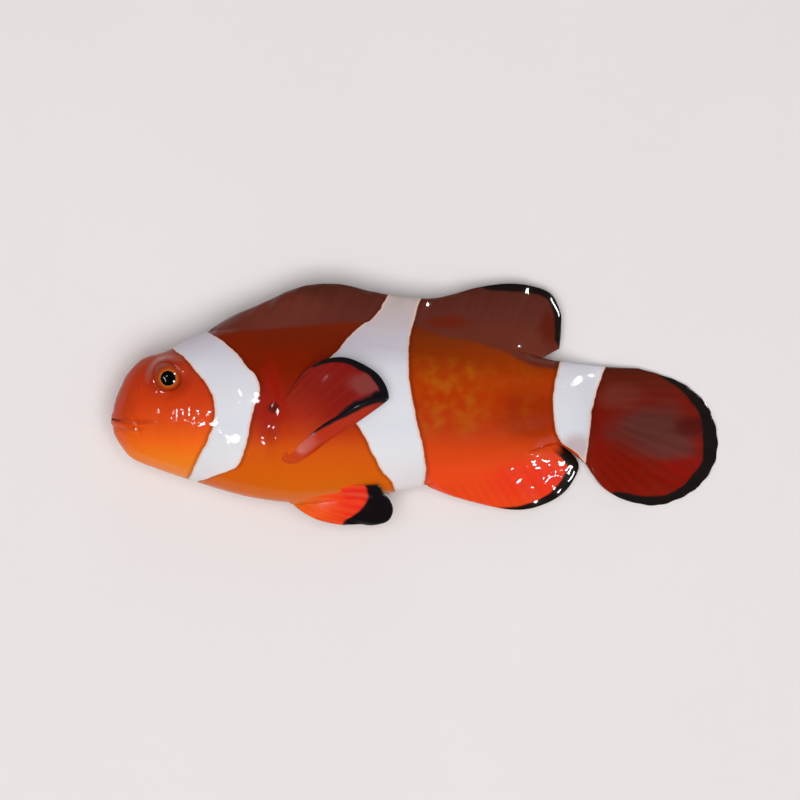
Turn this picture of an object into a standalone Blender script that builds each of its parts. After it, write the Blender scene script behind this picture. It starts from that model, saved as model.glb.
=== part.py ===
"""Common clownfish (Amphiprion ocellaris), a grown one at life size, lying on its right side.

Frame: X runs from the snout to the tail, Y from the belly to the back, Z up out of the left
flank. The origin is at the bottom centre of the whole fish. Lengths are in millimetres until
finish() turns them into metres. The body is one long loft, parted by thin cuts into the pieces
that a person would name. Each fin is a slab bent to its own surface.
"""

import math

import bmesh
import bpy
from mathutils import Vector

MM = 0.001

# Driving dimensions of the body
SNOUT_X = -40.0          # tip of the snout
TAIL_ROOT_X = 24.0       # end of the fleshy tail stalk
NECK_X = -18.3           # cut between the head and the trunk, just behind the gill covers
STALK_X = 17.5           # cut between the trunk and the tail stalk
PART_GAP = 0.3           # gap between touching pieces
RIDGE = 0.14             # how much the section narrows towards the back and the belly
SECTION_SIDES = 28
SMOOTH_ANGLE = math.radians(40)

# The side view: the back, the belly and the line of greatest width, as (x, y)
BACK = ((-40, -2.2), (-39, 2.0), (-38, 4.0), (-36, 6.0), (-33, 7.0), (-30, 8.4), (-27.5, 9.5),
        (-20, 10.2), (-10, 10.5), (0, 9.7), (10, 7.8), (18, 5.9), (24, 5.1))
BELLY = ((-40, -2.2), (-39.7, -4.0), (-39, -5.3), (-37.5, -7.1), (-33, -9.0), (-29, -10.3),
         (-22, -12.3), (-16, -13.0), (-8, -12.3), (1, -10.8), (9, -8.6), (18, -5.4), (24, -5.9))
WIDEST = ((-40, -2.2), (-34, -1.9), (-26, -1.6), (-15, -1.2), (0, -0.6), (24, -0.4))

# The top view: half the width, and the height of the fish's middle plane over the floor
HALF_WIDTH = ((-40, 0), (-39, 1.9), (-37, 3.4), (-34, 4.6), (-30, 5.7), (-25, 6.6), (-19, 6.95),
              (-12, 6.9), (-4, 6.2), (4, 5.2), (12, 4.0), (18, 3.0), (22, 2.1), (24, 1.3))
MIDDLE = ((-40, 6.0), (-30, 6.5), (-22, 6.65), (-12, 6.7), (-4, 6.0), (4, 5.0), (12, 3.85),
          (18, 2.95), (24, 2.0))

# Eyes, mouth and gill covers
EYE_X = -32.35
EYE_Y = 3.45
EYE_RADIUS = 2.15
EYE_BULGE = 0.65         # how far the eyeball stands out of the head
MOUTH_Y = -2.1           # the mouth's slit on the side of the snout
MOUTH_CORNER_X = -36.6
JAW_END_X = -34.4        # where the lower jaw meets the throat
JAW_END_Y = -10.6
GILL_THICKNESS = 0.8
GILL_FRONT = ((-24.3, 6.3), (-26.4, 4.3), (-27.8, 0.4), (-28.0, -4.6), (-28.9, -8.4))
GILL_REAR = ((-22.6, 6.4), (-19.8, 4.6), (-18.8, 1.6), (-19.6, -2.6), (-21.8, -7.4), (-24.6, -9.3))

# Fins: thickness, and how far the edges of the limp ones sag towards the floor
FIN_THICKNESS = 0.6
FIN_ROOT_THICKNESS = 1.0
DORSAL_SAG = 1.9
ANAL_SAG = 1.5
TAIL_FIN_ROOT_THICKNESS = 1.8
TAIL_FIN_FLAT_X = 33.0   # behind this the tail fin lies flat on the floor
PECTORAL_LIFT = 1.5      # how far the left side fin's edge stands off the flank
FOLD_RADIUS = 0.55       # of the crease where its lower rays fold back over the blade
FLAP_WIDTH = 2.0

# Fin edges, as (x, y)
DORSAL_FRONT_RIM = ((-27.3, 9.95), (-26, 10.5), (-24, 11.7), (-22, 12.6), (-19.5, 13.3),
                    (-17, 14.8), (-14, 15.65), (-10, 15.75), (-6, 14.85), (-1.9, 14.1))
DORSAL_REAR_RIM = ((-1.6, 14.1), (2, 13.9), (5, 14.5), (8, 15.35), (12, 15.9), (15.5, 15.55),
                   (18, 14.4), (19.15, 12), (19.1, 10), (18.9, 7.3))
ANAL_RIM = ((1.2, -11.3), (4, -11.9), (8, -13.05), (12, -13.9), (15, -13.85), (18, -12.8),
            (20, -11.3), (21.3, -9.2), (21.5, -7.8), (20.3, -6.1))
CAUDAL_ROOT = ((24.3, 5.0), (24.3, 0), (24.3, -5.0), (23.3, -6.35), (21.2, -6.3))
CAUDAL_RIM = ((29.5, 4.7), (32, 4.0), (35, 2.9), (37, 1.5), (38.6, -0.2), (39.7, -3),
              (40, -5.5), (39.5, -8), (38, -10.4), (36, -12), (33, -13.25), (31, -13.45),
              (28, -12.9))
LEFT_PECTORAL_ROOT = ((-17.9, 2.2), (-17.7, -1.0), (-17.2, -4.6), (-16.7, -7.5))
LEFT_PECTORAL_RIM = ((-15.2, 3.2), (-14, 4.4), (-12, 5.7), (-9, 6.3), (-6, 5.7), (-4.2, 4.8),
                     (-3.0, 3.1), (-2.75, 1.9))
CREASE_START = Vector((-16.7, -7.8))
CREASE_END = Vector((-3.0, 1.3))
RIGHT_PECTORAL_ROOT = ((-17.6, 1.2), (-17.4, -4.6))
RIGHT_PECTORAL_RIM = ((-14.5, 3.6), (-10.5, 4.4), (-7.0, 2.6), (-5.8, -0.6), (-6.8, -3.8),
                      (-9.6, -6.4), (-14.0, -7.2))
RIGHT_PECTORAL_CENTRE = Vector((-11.5, -1.4))
PELVIC_ROOT = (Vector((-16.4, -12.2)), Vector((-17.0, -13.1)))
PELVIC_RIM = ((-4.8, -10.6), (-4.3, -11.6), (-3.4, -12.6), (-3.0, -13.9), (-3.6, -15.3),
              (-5.2, -15.85), (-7.5, -15.75), (-9.6, -15.8))

# Each material's sRGB colour and roughness
COLOURS = {
    "orange_skin": ("C8460F", 0.25),
    "deep_orange_skin": ("A03A05", 0.25),
    "white_band_skin": ("CFD4DF", 0.25),
    "fin_skin": ("8A1F0A", 0.3),
    "dark_fin_skin": ("5E2F27", 0.3),
    "wet_eye": ("101012", 0.08),
}


def clear_scene():
    """Remove every object of the scene that Blender opens with."""
    for item in list(bpy.data.objects):
        bpy.data.objects.remove(item, do_unlink=True)


def linear(hex_colour):
    """Turn an sRGB hex colour into linear RGBA."""
    channels = [int(hex_colour[i:i + 2], 16) / 255 for i in (0, 2, 4)]
    return [c / 12.92 if c <= 0.04045 else ((c + 0.055) / 1.055) ** 2.4 for c in channels] + [1.0]


def skin_material(name):
    """A Principled material with the wet shine of living skin, made once."""
    material = bpy.data.materials.get(name)
    if material is None:
        colour, roughness = COLOURS[name]
        material = bpy.data.materials.new(name)
        material.use_nodes = True
        shader = material.node_tree.nodes["Principled BSDF"]
        shader.inputs["Base Color"].default_value = linear(colour)
        shader.inputs["Roughness"].default_value = roughness
        shader.inputs["Metallic"].default_value = 0.0
    return material


def spline(keys, values, key):
    """A smooth curve through values at rising keys, level beyond both ends."""
    key = min(max(key, keys[0]), keys[-1])
    i = min(sum(1 for k in keys[1:] if k <= key), len(keys) - 2)

    def slope(j):
        low = max(j - 1, 0)
        high = min(j + 1, len(keys) - 1)
        return (values[high] - values[low]) / (keys[high] - keys[low])

    span = keys[i + 1] - keys[i]
    t = (key - keys[i]) / span
    start = (2 * t ** 3 - 3 * t ** 2 + 1) * values[i] + (t ** 3 - 2 * t ** 2 + t) * span * slope(i)
    end = (3 * t ** 2 - 2 * t ** 3) * values[i + 1] + (t ** 3 - t ** 2) * span * slope(i + 1)
    return start + end


def along(points, x):
    """Read a body curve at x. Its keys crowd towards the snout, which keeps the nose round."""
    keys = [math.sqrt(p[0] - SNOUT_X) for p in points]
    return spline(keys, [p[1] for p in points], math.sqrt(max(x - SNOUT_X, 0.0)))


def on_edge(points, share):
    """The point at a share, from 0 to 1, of the way along an edge drawn through points."""
    keys = [0.0]
    for a, b in zip(points, points[1:]):
        keys.append(keys[-1] + math.dist(a, b))
    return Vector(spline(keys, [p[axis] for p in points], share * keys[-1]) for axis in (0, 1))


def section(x, across, upward):
    """A point of the body's section at x, from the unit circle's across (Z) and upward (Y)."""
    middle = along(WIDEST, x)
    reach = along(BACK, x) - middle if upward > 0 else middle - along(BELLY, x)
    width = along(HALF_WIDTH, x) * across * (1 - RIDGE * upward * upward)
    return Vector((x, middle + reach * upward, along(MIDDLE, x) + width))


def skin_point(spot, side, depth=0.0):
    """The point of the left (side 1) or right (side -1) flank at a plan spot, sunk by depth."""
    middle = along(WIDEST, spot.x)
    reach = along(BACK, spot.x) - middle if spot.y > middle else middle - along(BELLY, spot.x)
    upward = max(-1.0, min(1.0, (spot.y - middle) / reach))
    point = section(spot.x, side * math.sqrt(1 - upward * upward), upward)
    return point - Vector((0, 0, side * depth))


def finish(name, bm, material_name, parent):
    """Turn a closed bmesh in millimetres into a smooth-shaded object in metres."""
    bmesh.ops.recalc_face_normals(bm, faces=bm.faces)
    if bm.calc_volume(signed=True) < 0:
        bmesh.ops.reverse_faces(bm, faces=bm.faces)
    bmesh.ops.scale(bm, vec=(MM, MM, MM), verts=bm.verts)
    mesh = bpy.data.meshes.new(name)
    bm.to_mesh(mesh)
    bm.free()
    mesh.shade_smooth()
    mesh.set_sharp_from_angle(angle=SMOOTH_ANGLE)
    mesh.materials.append(skin_material(material_name))
    item = bpy.data.objects.new(name, mesh)
    bpy.context.scene.collection.objects.link(item)
    item.parent = parent
    return item


def as_cutter(item):
    """Hide an object that only cuts or trims others."""
    item.hide_render = True
    item.display_type = "WIRE"
    return item


def trim(item, tool, operation="DIFFERENCE"):
    """Take the tool's volume out of an object, or keep only what lies inside it."""
    modifier = item.modifiers.new(operation.lower() + "_" + tool.name, "BOOLEAN")
    modifier.operation = operation
    modifier.solver = "EXACT"
    modifier.object = tool


def steps(start, end, count, power=1.0):
    """Numbers from start to end; a power above 1 crowds them towards the start."""
    return [start + (end - start) * (i / count) ** power for i in range(count + 1)]


def ring_edges(ring):
    """The edges that join the vertices of one ring."""
    members = set(ring)
    return [edge for edge in dict.fromkeys(e for vert in ring for e in vert.link_edges)
            if set(edge.verts) <= members]


def loft(name, stations, material_name, parent):
    """Bridge the body's sections at the given x stations and close both ends."""
    bm = bmesh.new()
    rings = []
    for x in stations:
        ring = bmesh.ops.create_circle(bm, segments=SECTION_SIDES, radius=1.0)["verts"]
        for vert in ring:
            vert.co = section(x, vert.co.x, vert.co.y)
        rings.append(ring)
    for ring, following in zip(rings, rings[1:]):
        bmesh.ops.bridge_loops(bm, edges=ring_edges(ring) + ring_edges(following))
    for ring in (rings[0], rings[-1]):
        bmesh.ops.contextual_create(bm, geom=ring)
    return finish(name, bm, material_name, parent)


def slab(name, columns, rows, place, material_name, parent):
    """A closed slab. place(u, v, w) bends it: u and v run from 0 to 1, w from -0.5 to 0.5."""
    bm = bmesh.new()
    bmesh.ops.create_grid(bm, x_segments=columns, y_segments=rows, size=0.5)
    bmesh.ops.solidify(bm, geom=bm.faces[:], thickness=1.0)
    lowest = min(vert.co.z for vert in bm.verts)
    for vert in bm.verts:
        vert.co = place(vert.co.x + 0.5, vert.co.y + 0.5, vert.co.z - lowest - 0.5)
    return finish(name, bm, material_name, parent)


def fan(root, rim, bow=0.0):
    """Plan of a fin: rays run from the root edge to the rim edge, its outer rays bowed."""
    def plan(u, v):
        start = on_edge(root, u)
        ray = on_edge(rim, u) - start
        side = Vector((-ray.y, ray.x)).normalized()
        return start + ray * v + side * bow * (1 - 2 * u) * math.sin(math.pi * v)
    return plan


def fin_thickness(v):
    """Thickness of a fin, thicker in the half next to its root."""
    return FIN_ROOT_THICKNESS + (FIN_THICKNESS - FIN_ROOT_THICKNESS) * min(1.0, 2 * v)


def make_floor(parent):
    """The cutter below the level that the fish lies on."""
    bm = bmesh.new()
    bmesh.ops.create_cube(bm, size=1.0)
    bmesh.ops.scale(bm, vec=(100, 60, 20), verts=bm.verts)
    bmesh.ops.translate(bm, vec=(0, 0, -10), verts=bm.verts)
    return as_cutter(finish("floor_cutter", bm, "orange_skin", parent))


def make_body(floor, parent):
    """Head, trunk and tail stalk, each cut flat where it lies on the floor."""
    half_gap = PART_GAP / 2
    nose_cap = 0.01
    head = loft("head", steps(SNOUT_X + nose_cap, NECK_X - half_gap, 15, 2.0), "orange_skin",
                parent)
    trunk = loft("trunk", steps(NECK_X + half_gap, STALK_X - half_gap, 18), "deep_orange_skin",
                 parent)
    stalk = loft("tail_stalk", steps(STALK_X + half_gap, TAIL_ROOT_X, 5), "white_band_skin",
                 parent)
    for item in (head, trunk, stalk):
        trim(item, floor)
    return head, trunk


def make_eye(name, side, head, parent):
    """An eyeball in its socket; side is 1 for the left and -1 for the right."""
    centre = skin_point(Vector((EYE_X, EYE_Y)), side, EYE_RADIUS - EYE_BULGE)
    for suffix, radius in (("", EYE_RADIUS), ("_socket", EYE_RADIUS + PART_GAP)):
        bm = bmesh.new()
        bmesh.ops.create_uvsphere(bm, u_segments=18, v_segments=10, radius=radius)
        bmesh.ops.translate(bm, vec=centre, verts=bm.verts)
        ball = finish(name + suffix, bm, "wet_eye", parent)
        if suffix:
            trim(head, as_cutter(ball))


def make_gill_cover(name, side, head, floor, parent):
    """The plate over the gills, flush with the head, in a recess one gap wider all round."""
    def spot_at(u, v, margin):
        front = on_edge(GILL_FRONT, v)
        rear = on_edge(GILL_REAR, v)
        down = (on_edge(GILL_REAR, 1) - on_edge(GILL_REAR, 0)).normalized()
        out = (rear - front).normalized()
        return front.lerp(rear, u) + margin * (out * (2 * u - 1) + down * (2 * v - 1))

    def plate(u, v, w):
        return skin_point(spot_at(u, v, 0.0), side, GILL_THICKNESS * (0.5 - w))

    def recess(u, v, w):
        depth = GILL_THICKNESS + PART_GAP if w < 0 else -1.0
        return skin_point(spot_at(u, v, PART_GAP), side, depth)

    trim(slab(name, 6, 12, plate, "white_band_skin", parent), floor)
    trim(head, as_cutter(slab(name + "_recess", 6, 12, recess, "white_band_skin", parent)))


def jaw_tool(name, gap, parent):
    """A prism round the lower jaw, smaller than its place in the head by the gap."""
    outline = ((SNOUT_X - 3, MOUTH_Y - gap), (MOUTH_CORNER_X - gap, MOUTH_Y - gap),
               (JAW_END_X - gap, JAW_END_Y), (SNOUT_X - 3, JAW_END_Y))
    bottom = -2.0
    top = 14.0
    bm = bmesh.new()
    face = bm.faces.new([bm.verts.new((x, y, bottom)) for x, y in outline])
    raised = bmesh.ops.extrude_face_region(bm, geom=[face])["geom"]
    lid = [part for part in raised if isinstance(part, bmesh.types.BMVert)]
    bmesh.ops.translate(bm, vec=(0, 0, top - bottom), verts=lid)
    return as_cutter(finish(name, bm, "orange_skin", parent))


def make_lower_jaw(head, parent):
    """Part the lower jaw from the head along the mouth and down the throat."""
    trim(head, jaw_tool("jaw_place", 0.0, parent))
    jaw = loft("lower_jaw", steps(SNOUT_X + 0.01, JAW_END_X + 1, 8, 2.0), "orange_skin", parent)
    trim(jaw, jaw_tool("jaw_shape", PART_GAP, parent), "INTERSECT")


def make_back_fin(name, rim, start, end, parent):
    """One length of the back fin on the ridge of the back, its edge sagging a little."""
    plan = fan([(x, along(BACK, x) + PART_GAP) for x in steps(start, end, 8)], rim)

    def place(u, v, w):
        spot = plan(u, v)
        sag = DORSAL_SAG * v ** 1.6 * math.sqrt(math.sin(math.pi * min(0.95, 0.12 + u)))
        return Vector((spot.x, spot.y, along(MIDDLE, spot.x) - sag + w * fin_thickness(v)))

    slab(name, 22, 4, place, "dark_fin_skin", parent)


def make_anal_fin(parent):
    """The fin under the tail, its tip hanging almost to the floor."""
    plan = fan([(x, along(BELLY, x) - PART_GAP) for x in steps(1.2, 18.6, 8)], ANAL_RIM)

    def place(u, v, w):
        spot = plan(u, v)
        sag = ANAL_SAG * v ** 1.4 * math.sin(math.pi * min(0.5, u + 0.1))
        return Vector((spot.x, spot.y, along(MIDDLE, spot.x) - sag + w * fin_thickness(v)))

    slab("anal_fin", 20, 4, place, "fin_skin", parent)


def make_caudal_fin(parent):
    """The tail fin, a round fan that droops from the stalk to lie flat on the floor."""
    plan = fan(CAUDAL_ROOT, CAUDAL_RIM, bow=0.35)
    lying = FIN_THICKNESS / 2
    fall = along(MIDDLE, TAIL_ROOT_X) - lying
    bend_start = TAIL_ROOT_X - 3
    taper_length = 6.0

    def place(u, v, w):
        spot = plan(u, v)
        bend = (TAIL_FIN_FLAT_X - spot.x) / (TAIL_FIN_FLAT_X - bend_start)
        height = lying + fall * min(1.0, max(0.0, bend)) ** 1.6
        taper = min(1.0, max(0.0, (spot.x - TAIL_ROOT_X) / taper_length))
        thick = TAIL_FIN_ROOT_THICKNESS + (FIN_THICKNESS - TAIL_FIN_ROOT_THICKNESS) * taper
        return Vector((spot.x, spot.y, height + w * thick))

    slab("caudal_fin", 24, 6, place, "fin_skin", parent)


def make_left_pectoral(parent):
    """The raised left side fin. Its lower rays fold back over the blade along a crease."""
    blade_share = 0.62       # of u; the fold and the flap take the rest
    fold_share = 0.18
    flap_share = 1 - blade_share - fold_share
    blade_end = 0.93         # the blade's last ray, beside the crease
    plan = fan(LEFT_PECTORAL_ROOT, LEFT_PECTORAL_RIM)
    run = (CREASE_END - CREASE_START).normalized()
    inward = Vector((-run.y, run.x))

    def over_flank(spot, v):
        clear = PART_GAP + FIN_THICKNESS / 2 + PECTORAL_LIFT * v ** 0.8
        return skin_point(spot, 1, -clear)

    def middle(u, v):
        if u <= blade_share:
            return over_flank(plan(blade_end * u / blade_share, v), v)
        crease = CREASE_START.lerp(CREASE_END, v)
        turn = -math.pi / 2 + math.pi * min(1.0, (u - blade_share) / fold_share)
        beyond = max(0.0, (u - blade_share - fold_share) / flap_share)
        flap = FLAP_WIDTH * (0.35 + 0.65 * math.sin(math.pi * (0.95 - 0.8 * v)) ** 0.7)
        spot = crease + inward * (FOLD_RADIUS * (1 - math.cos(turn)) + flap * beyond)
        rise = FOLD_RADIUS * (1 + math.sin(turn))
        return Vector((spot.x, spot.y, over_flank(crease, v).z + rise))

    def place(u, v, w):
        reach = 0.01
        along_u = middle(min(1.0, u + reach), v) - middle(max(0.0, u - reach), v)
        along_v = middle(u, min(1.0, v + reach)) - middle(u, max(0.0, v - reach))
        return middle(u, v) + along_v.cross(along_u).normalized() * w * FIN_THICKNESS

    slab("pectoral_fin_left", 22, 7, place, "fin_skin", parent)


def make_right_pectoral(trunk, parent):
    """The right side fin, pressed flat under the flank, and its shallow bed in the trunk."""
    plan = fan(RIGHT_PECTORAL_ROOT, RIGHT_PECTORAL_RIM)
    bed_margin = 0.5

    def fin(u, v, w):
        spot = plan(u, v)
        return Vector((spot.x, spot.y, (0.5 + w) * FIN_THICKNESS))

    def bed(u, v, w):
        spot = plan(u, v)
        spot += (spot - RIGHT_PECTORAL_CENTRE).normalized() * bed_margin
        return Vector((spot.x, spot.y, FIN_THICKNESS + PART_GAP if w > 0 else -1.0))

    slab("pectoral_fin_right", 12, 4, fin, "fin_skin", parent)
    trim(trunk, as_cutter(slab("pectoral_bed", 12, 4, bed, "fin_skin", parent)))


def make_pelvic_fin(name, side, reach, parent):
    """A belly fin. The left (side 1) hangs over the belly's edge, the right lies below it."""
    tips = [PELVIC_ROOT[0].lerp(Vector(point), reach) for point in PELVIC_RIM]
    plan = fan(PELVIC_ROOT, tips, bow=0.3)
    edge_y = -10.6           # where the upper edge lies against the belly
    fin_depth = 5.3

    def height(spot, v):
        out = (edge_y - spot.y) / fin_depth
        if side > 0:
            return along(MIDDLE, spot.x) + 3.9 - 3.5 * out - 0.8 * v * out
        return max(FIN_THICKNESS / 2 + 0.1, 3.85 - 2.0 * v ** 0.6 - 1.4 * v * out)

    def place(u, v, w):
        spot = plan(u, v)
        return Vector((spot.x, spot.y, height(spot, v) + w * FIN_THICKNESS))

    slab(name, 10, 6, place, "fin_skin", parent)


def main():
    """Build the whole fish."""
    clear_scene()
    fish = bpy.data.objects.new("clownfish", None)
    bpy.context.scene.collection.objects.link(fish)
    floor = make_floor(fish)
    head, trunk = make_body(floor, fish)
    for word, side in (("left", 1), ("right", -1)):
        make_eye("eye_" + word, side, head, fish)
        make_gill_cover("gill_cover_" + word, side, head, floor, fish)
    make_lower_jaw(head, fish)
    make_back_fin("dorsal_fin_front", DORSAL_FRONT_RIM, -27.3, -1.9, fish)
    make_back_fin("dorsal_fin_rear", DORSAL_REAR_RIM, -1.6, 16.6, fish)
    make_anal_fin(fish)
    make_caudal_fin(fish)
    make_left_pectoral(fish)
    make_right_pectoral(trunk, fish)
    make_pelvic_fin("pelvic_fin_left", 1, 1.0, fish)
    make_pelvic_fin("pelvic_fin_right", -1, 0.94, fish)


main()
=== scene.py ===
"""Common clownfish (Amphiprion ocellaris), life size, lying on its right side.

The file is laid out as a Blender add-on and run as a script. Lengths are in millimetres in the
shape functions, and become metres when a mesh is written. X runs from the snout to the tail, Y
from the belly to the back, Z up out of the left flank.
"""

import math

import bmesh
import bpy
import numpy as np
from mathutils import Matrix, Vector


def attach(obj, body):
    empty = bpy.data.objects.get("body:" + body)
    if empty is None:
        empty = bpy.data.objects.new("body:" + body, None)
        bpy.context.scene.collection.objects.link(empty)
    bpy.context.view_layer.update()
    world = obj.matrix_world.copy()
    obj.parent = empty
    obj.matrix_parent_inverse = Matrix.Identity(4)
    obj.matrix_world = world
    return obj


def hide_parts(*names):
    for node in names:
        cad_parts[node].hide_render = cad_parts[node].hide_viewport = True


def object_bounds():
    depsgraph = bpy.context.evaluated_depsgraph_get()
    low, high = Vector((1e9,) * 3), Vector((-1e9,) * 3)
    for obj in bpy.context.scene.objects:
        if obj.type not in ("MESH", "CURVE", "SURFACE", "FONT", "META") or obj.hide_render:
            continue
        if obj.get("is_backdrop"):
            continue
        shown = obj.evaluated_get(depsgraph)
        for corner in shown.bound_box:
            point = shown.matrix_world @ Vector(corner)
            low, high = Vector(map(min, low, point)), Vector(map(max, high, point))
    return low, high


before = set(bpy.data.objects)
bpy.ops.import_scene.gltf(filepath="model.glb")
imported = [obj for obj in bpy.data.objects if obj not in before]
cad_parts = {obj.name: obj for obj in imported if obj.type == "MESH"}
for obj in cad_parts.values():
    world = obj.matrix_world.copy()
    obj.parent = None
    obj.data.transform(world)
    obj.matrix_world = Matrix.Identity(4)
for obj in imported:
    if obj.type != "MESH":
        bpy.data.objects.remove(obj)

bl_info = {
    "name": "Clownfish model",
    "version": (1, 0, 0),
    "blender": (4, 5, 0),
    "location": "3D View > Sidebar > Clownfish",
    "description": "Builds a life-size clownfish as a still display model",
    "category": "Add Mesh",
}

MM = 0.001
NO_LENGTH = 1e-9         # below this a length counts as none
COAT_DEPTH = 0.12        # the skin lies this far inside the body, under its scales

# The body, with the same numbers as the solids it dresses
SNOUT_X = -40.0
TAIL_ROOT_X = 24.0
RIDGE = 0.14
BACK = ((-40, -2.2), (-39, 2.0), (-38, 4.0), (-36, 6.0), (-33, 7.0), (-30, 8.4), (-27.5, 9.5),
        (-20, 10.2), (-10, 10.5), (0, 9.7), (10, 7.8), (18, 5.9), (24, 5.1))
BELLY = ((-40, -2.2), (-39.7, -4.0), (-39, -5.3), (-37.5, -7.1), (-33, -9.0), (-29, -10.3),
         (-22, -12.3), (-16, -13.0), (-8, -12.3), (1, -10.8), (9, -8.6), (18, -5.4), (24, -5.9))
WIDEST = ((-40, -2.2), (-34, -1.9), (-26, -1.6), (-15, -1.2), (0, -0.6), (24, -0.4))
HALF_WIDTH = ((-40, 0), (-39, 1.9), (-37, 3.4), (-34, 4.6), (-30, 5.7), (-25, 6.6), (-19, 6.95),
              (-12, 6.9), (-4, 6.2), (4, 5.2), (12, 4.0), (18, 3.0), (22, 2.1), (24, 1.3))
MIDDLE = ((-40, 6.0), (-30, 6.5), (-22, 6.65), (-12, 6.7), (-4, 6.0), (4, 5.0), (12, 3.85),
          (18, 2.95), (24, 2.0))

# The fins' rays, each from the body's ridge at x to the fin's edge at (x, y)
DORSAL_RAYS = ((-27.3, -27.2, 9.9), (-26.6, -26, 10.5), (-25.4, -24, 11.7), (-23.8, -22, 12.5),
               (-21.4, -19.5, 13.6), (-19.2, -17, 14.75), (-16.4, -14, 15.65),
               (-12.5, -10, 15.75), (-8.4, -6, 14.85), (-4, -1.8, 14.1), (-0.4, 2, 13.9),
               (2.6, 5, 14.5), (5.4, 8, 15.35), (8.8, 12, 15.9), (11.6, 15.5, 15.55),
               (13.6, 18, 14.4), (14.9, 19.15, 12), (15.8, 19.2, 10.2),
               (16.3, 19.1, 8.5), (16.7, 18.95, 7.3))
ANAL_RAYS = ((1.2, 1.3, -11.0), (2.6, 4, -11.9), (5.6, 8, -13.05), (8.8, 12, -13.9),
             (11.2, 15, -13.85), (13.4, 18, -12.8), (15.2, 20, -11.3), (16.8, 21.3, -9.2),
             (17.8, 21.5, -7.8), (18.6, 20.4, -6.1))
DORSAL_SAG = 1.9
ANAL_SAG = 1.5
CAUDAL_ROOT = ((24.3, 5.0), (24.3, 0), (24.3, -4.5), (23.8, -6.6), (22.5, -8.1))
CAUDAL_RIM = ((29.5, 4.7), (32, 4.0), (35, 2.9), (37, 1.5), (38.6, -0.2), (39.7, -3),
              (40, -5.5), (39.5, -8), (38, -10.4), (36, -12), (33, -13.25), (31, -13.45),
              (28, -12.85), (26.6, -12.3))
TAIL_FIN_FLAT_X = 33.0

# The eye, which stands out a quarter of a millimetre further than its solid
EYE_X = -32.35
EYE_Y = 3.45
EYE_RADIUS = 2.15
EYE_BULGE = 0.9
LID_RADIUS = 1.58        # where the skin meets the eyeball
PUPIL_REACH = 1.05
PUPIL_RISE = 0.07


def swing(start, end, slope_in, slope_out, span, t):
    """A smooth step from start to end over a span, leaving and arriving at two slopes."""
    return ((2 * t ** 3 - 3 * t ** 2 + 1) * start + (t ** 3 - 2 * t ** 2 + t) * span * slope_in
            + (3 * t ** 2 - 2 * t ** 3) * end + (t ** 3 - t ** 2) * span * slope_out)


def spline(keys, values, at):
    """A smooth curve through values at rising keys, level beyond both ends, read at an array."""
    keys = np.asarray(keys, float)
    values = np.asarray(values, float)
    at = np.clip(at, keys[0], keys[-1])
    i = np.clip(np.searchsorted(keys, at, side="right") - 1, 0, len(keys) - 2)
    spots = np.arange(len(keys))
    low = np.maximum(spots - 1, 0)
    high = np.minimum(spots + 1, len(keys) - 1)
    slopes = (values[high] - values[low]) / (keys[high] - keys[low])
    span = keys[i + 1] - keys[i]
    return swing(values[i], values[i + 1], slopes[i], slopes[i + 1], span, (at - keys[i]) / span)


def through(points, at):
    """Read y at x on the smooth curve through (x, y) points."""
    return spline([p[0] for p in points], [p[1] for p in points], at)


def across_at(points, y):
    """Read x at y on the smooth curve through (x, y) points that runs up the fish."""
    return through([(p[1], p[0]) for p in points], y)


def along(points, x):
    """Read a body curve at x. Its keys crowd towards the snout, which keeps the nose round."""
    keys = [math.sqrt(p[0] - SNOUT_X) for p in points]
    return spline(keys, [p[1] for p in points], np.sqrt(np.maximum(np.asarray(x) - SNOUT_X, 0.0)))


def on_edge(points, share):
    """The points (last axis x, y) at a share of the way along an edge drawn through points."""
    points = np.asarray(points, float)
    keys = np.concatenate(([0.0], np.cumsum(np.linalg.norm(np.diff(points, axis=0), axis=1))))
    share = np.asarray(share, float) * keys[-1]
    return np.stack([spline(keys, points[:, axis], share) for axis in (0, 1)], axis=-1)


def smooth(low, high, value):
    """0 below low, 1 above high, and an even turn between them."""
    t = np.clip((np.asarray(value, float) - low) / (high - low), 0.0, 1.0)
    return t * t * (3 - 2 * t)


def bell(value, width):
    """A bell-shaped bump of height 1 whose half width is about width."""
    return np.exp(-(np.asarray(value, float) / width) ** 2)


def unit(vectors):
    """Vectors (on the last axis) at length 1, those of no length left as they are."""
    length = np.linalg.norm(vectors, axis=-1, keepdims=True)
    return vectors / np.maximum(length, NO_LENGTH)


def there_and_back(out, back):
    """A grid's columns followed by another's in reverse, sharing the column they turn on."""
    return np.concatenate((out, back[:, -2::-1]), axis=1)


def to_line(x, y, points):
    """Distance from (x, y) to the line drawn through points."""
    points = np.asarray(points, float)
    nearest = np.full(np.shape(x), np.inf)
    for a, b in zip(points[:-1], points[1:]):
        run = b - a
        from_x, from_y = x - a[0], y - a[1]
        share = (from_x * run[0] + from_y * run[1]) / max(float(run @ run), NO_LENGTH)
        share = np.clip(share, 0.0, 1.0)
        nearest = np.minimum(nearest, np.hypot(from_x - share * run[0], from_y - share * run[1]))
    return nearest


def half_width(x, rise):
    """Half the body's width at a height of its section, leaner where it runs out into a fin."""
    finned = np.where(rise > 0, smooth(-27, -20, x), smooth(-3, 4, x)) * smooth(24, 19, x)
    power = 0.5 + 0.24 * finned * smooth(0.35, 0.95, np.abs(rise))
    across = np.clip(1 - rise ** 2, 0.0, 1.0) ** power
    return along(HALF_WIDTH, x) * across * (1 - RIDGE * rise ** 2)


def body_ring(x, rise):
    """The body's section at x: plan y and half width, rise being -1 at the belly and 1 above."""
    middle = along(WIDEST, x)
    reach = np.where(rise > 0, along(BACK, x) - middle, middle - along(BELLY, x))
    return middle + reach * rise, half_width(x, rise)


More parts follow.
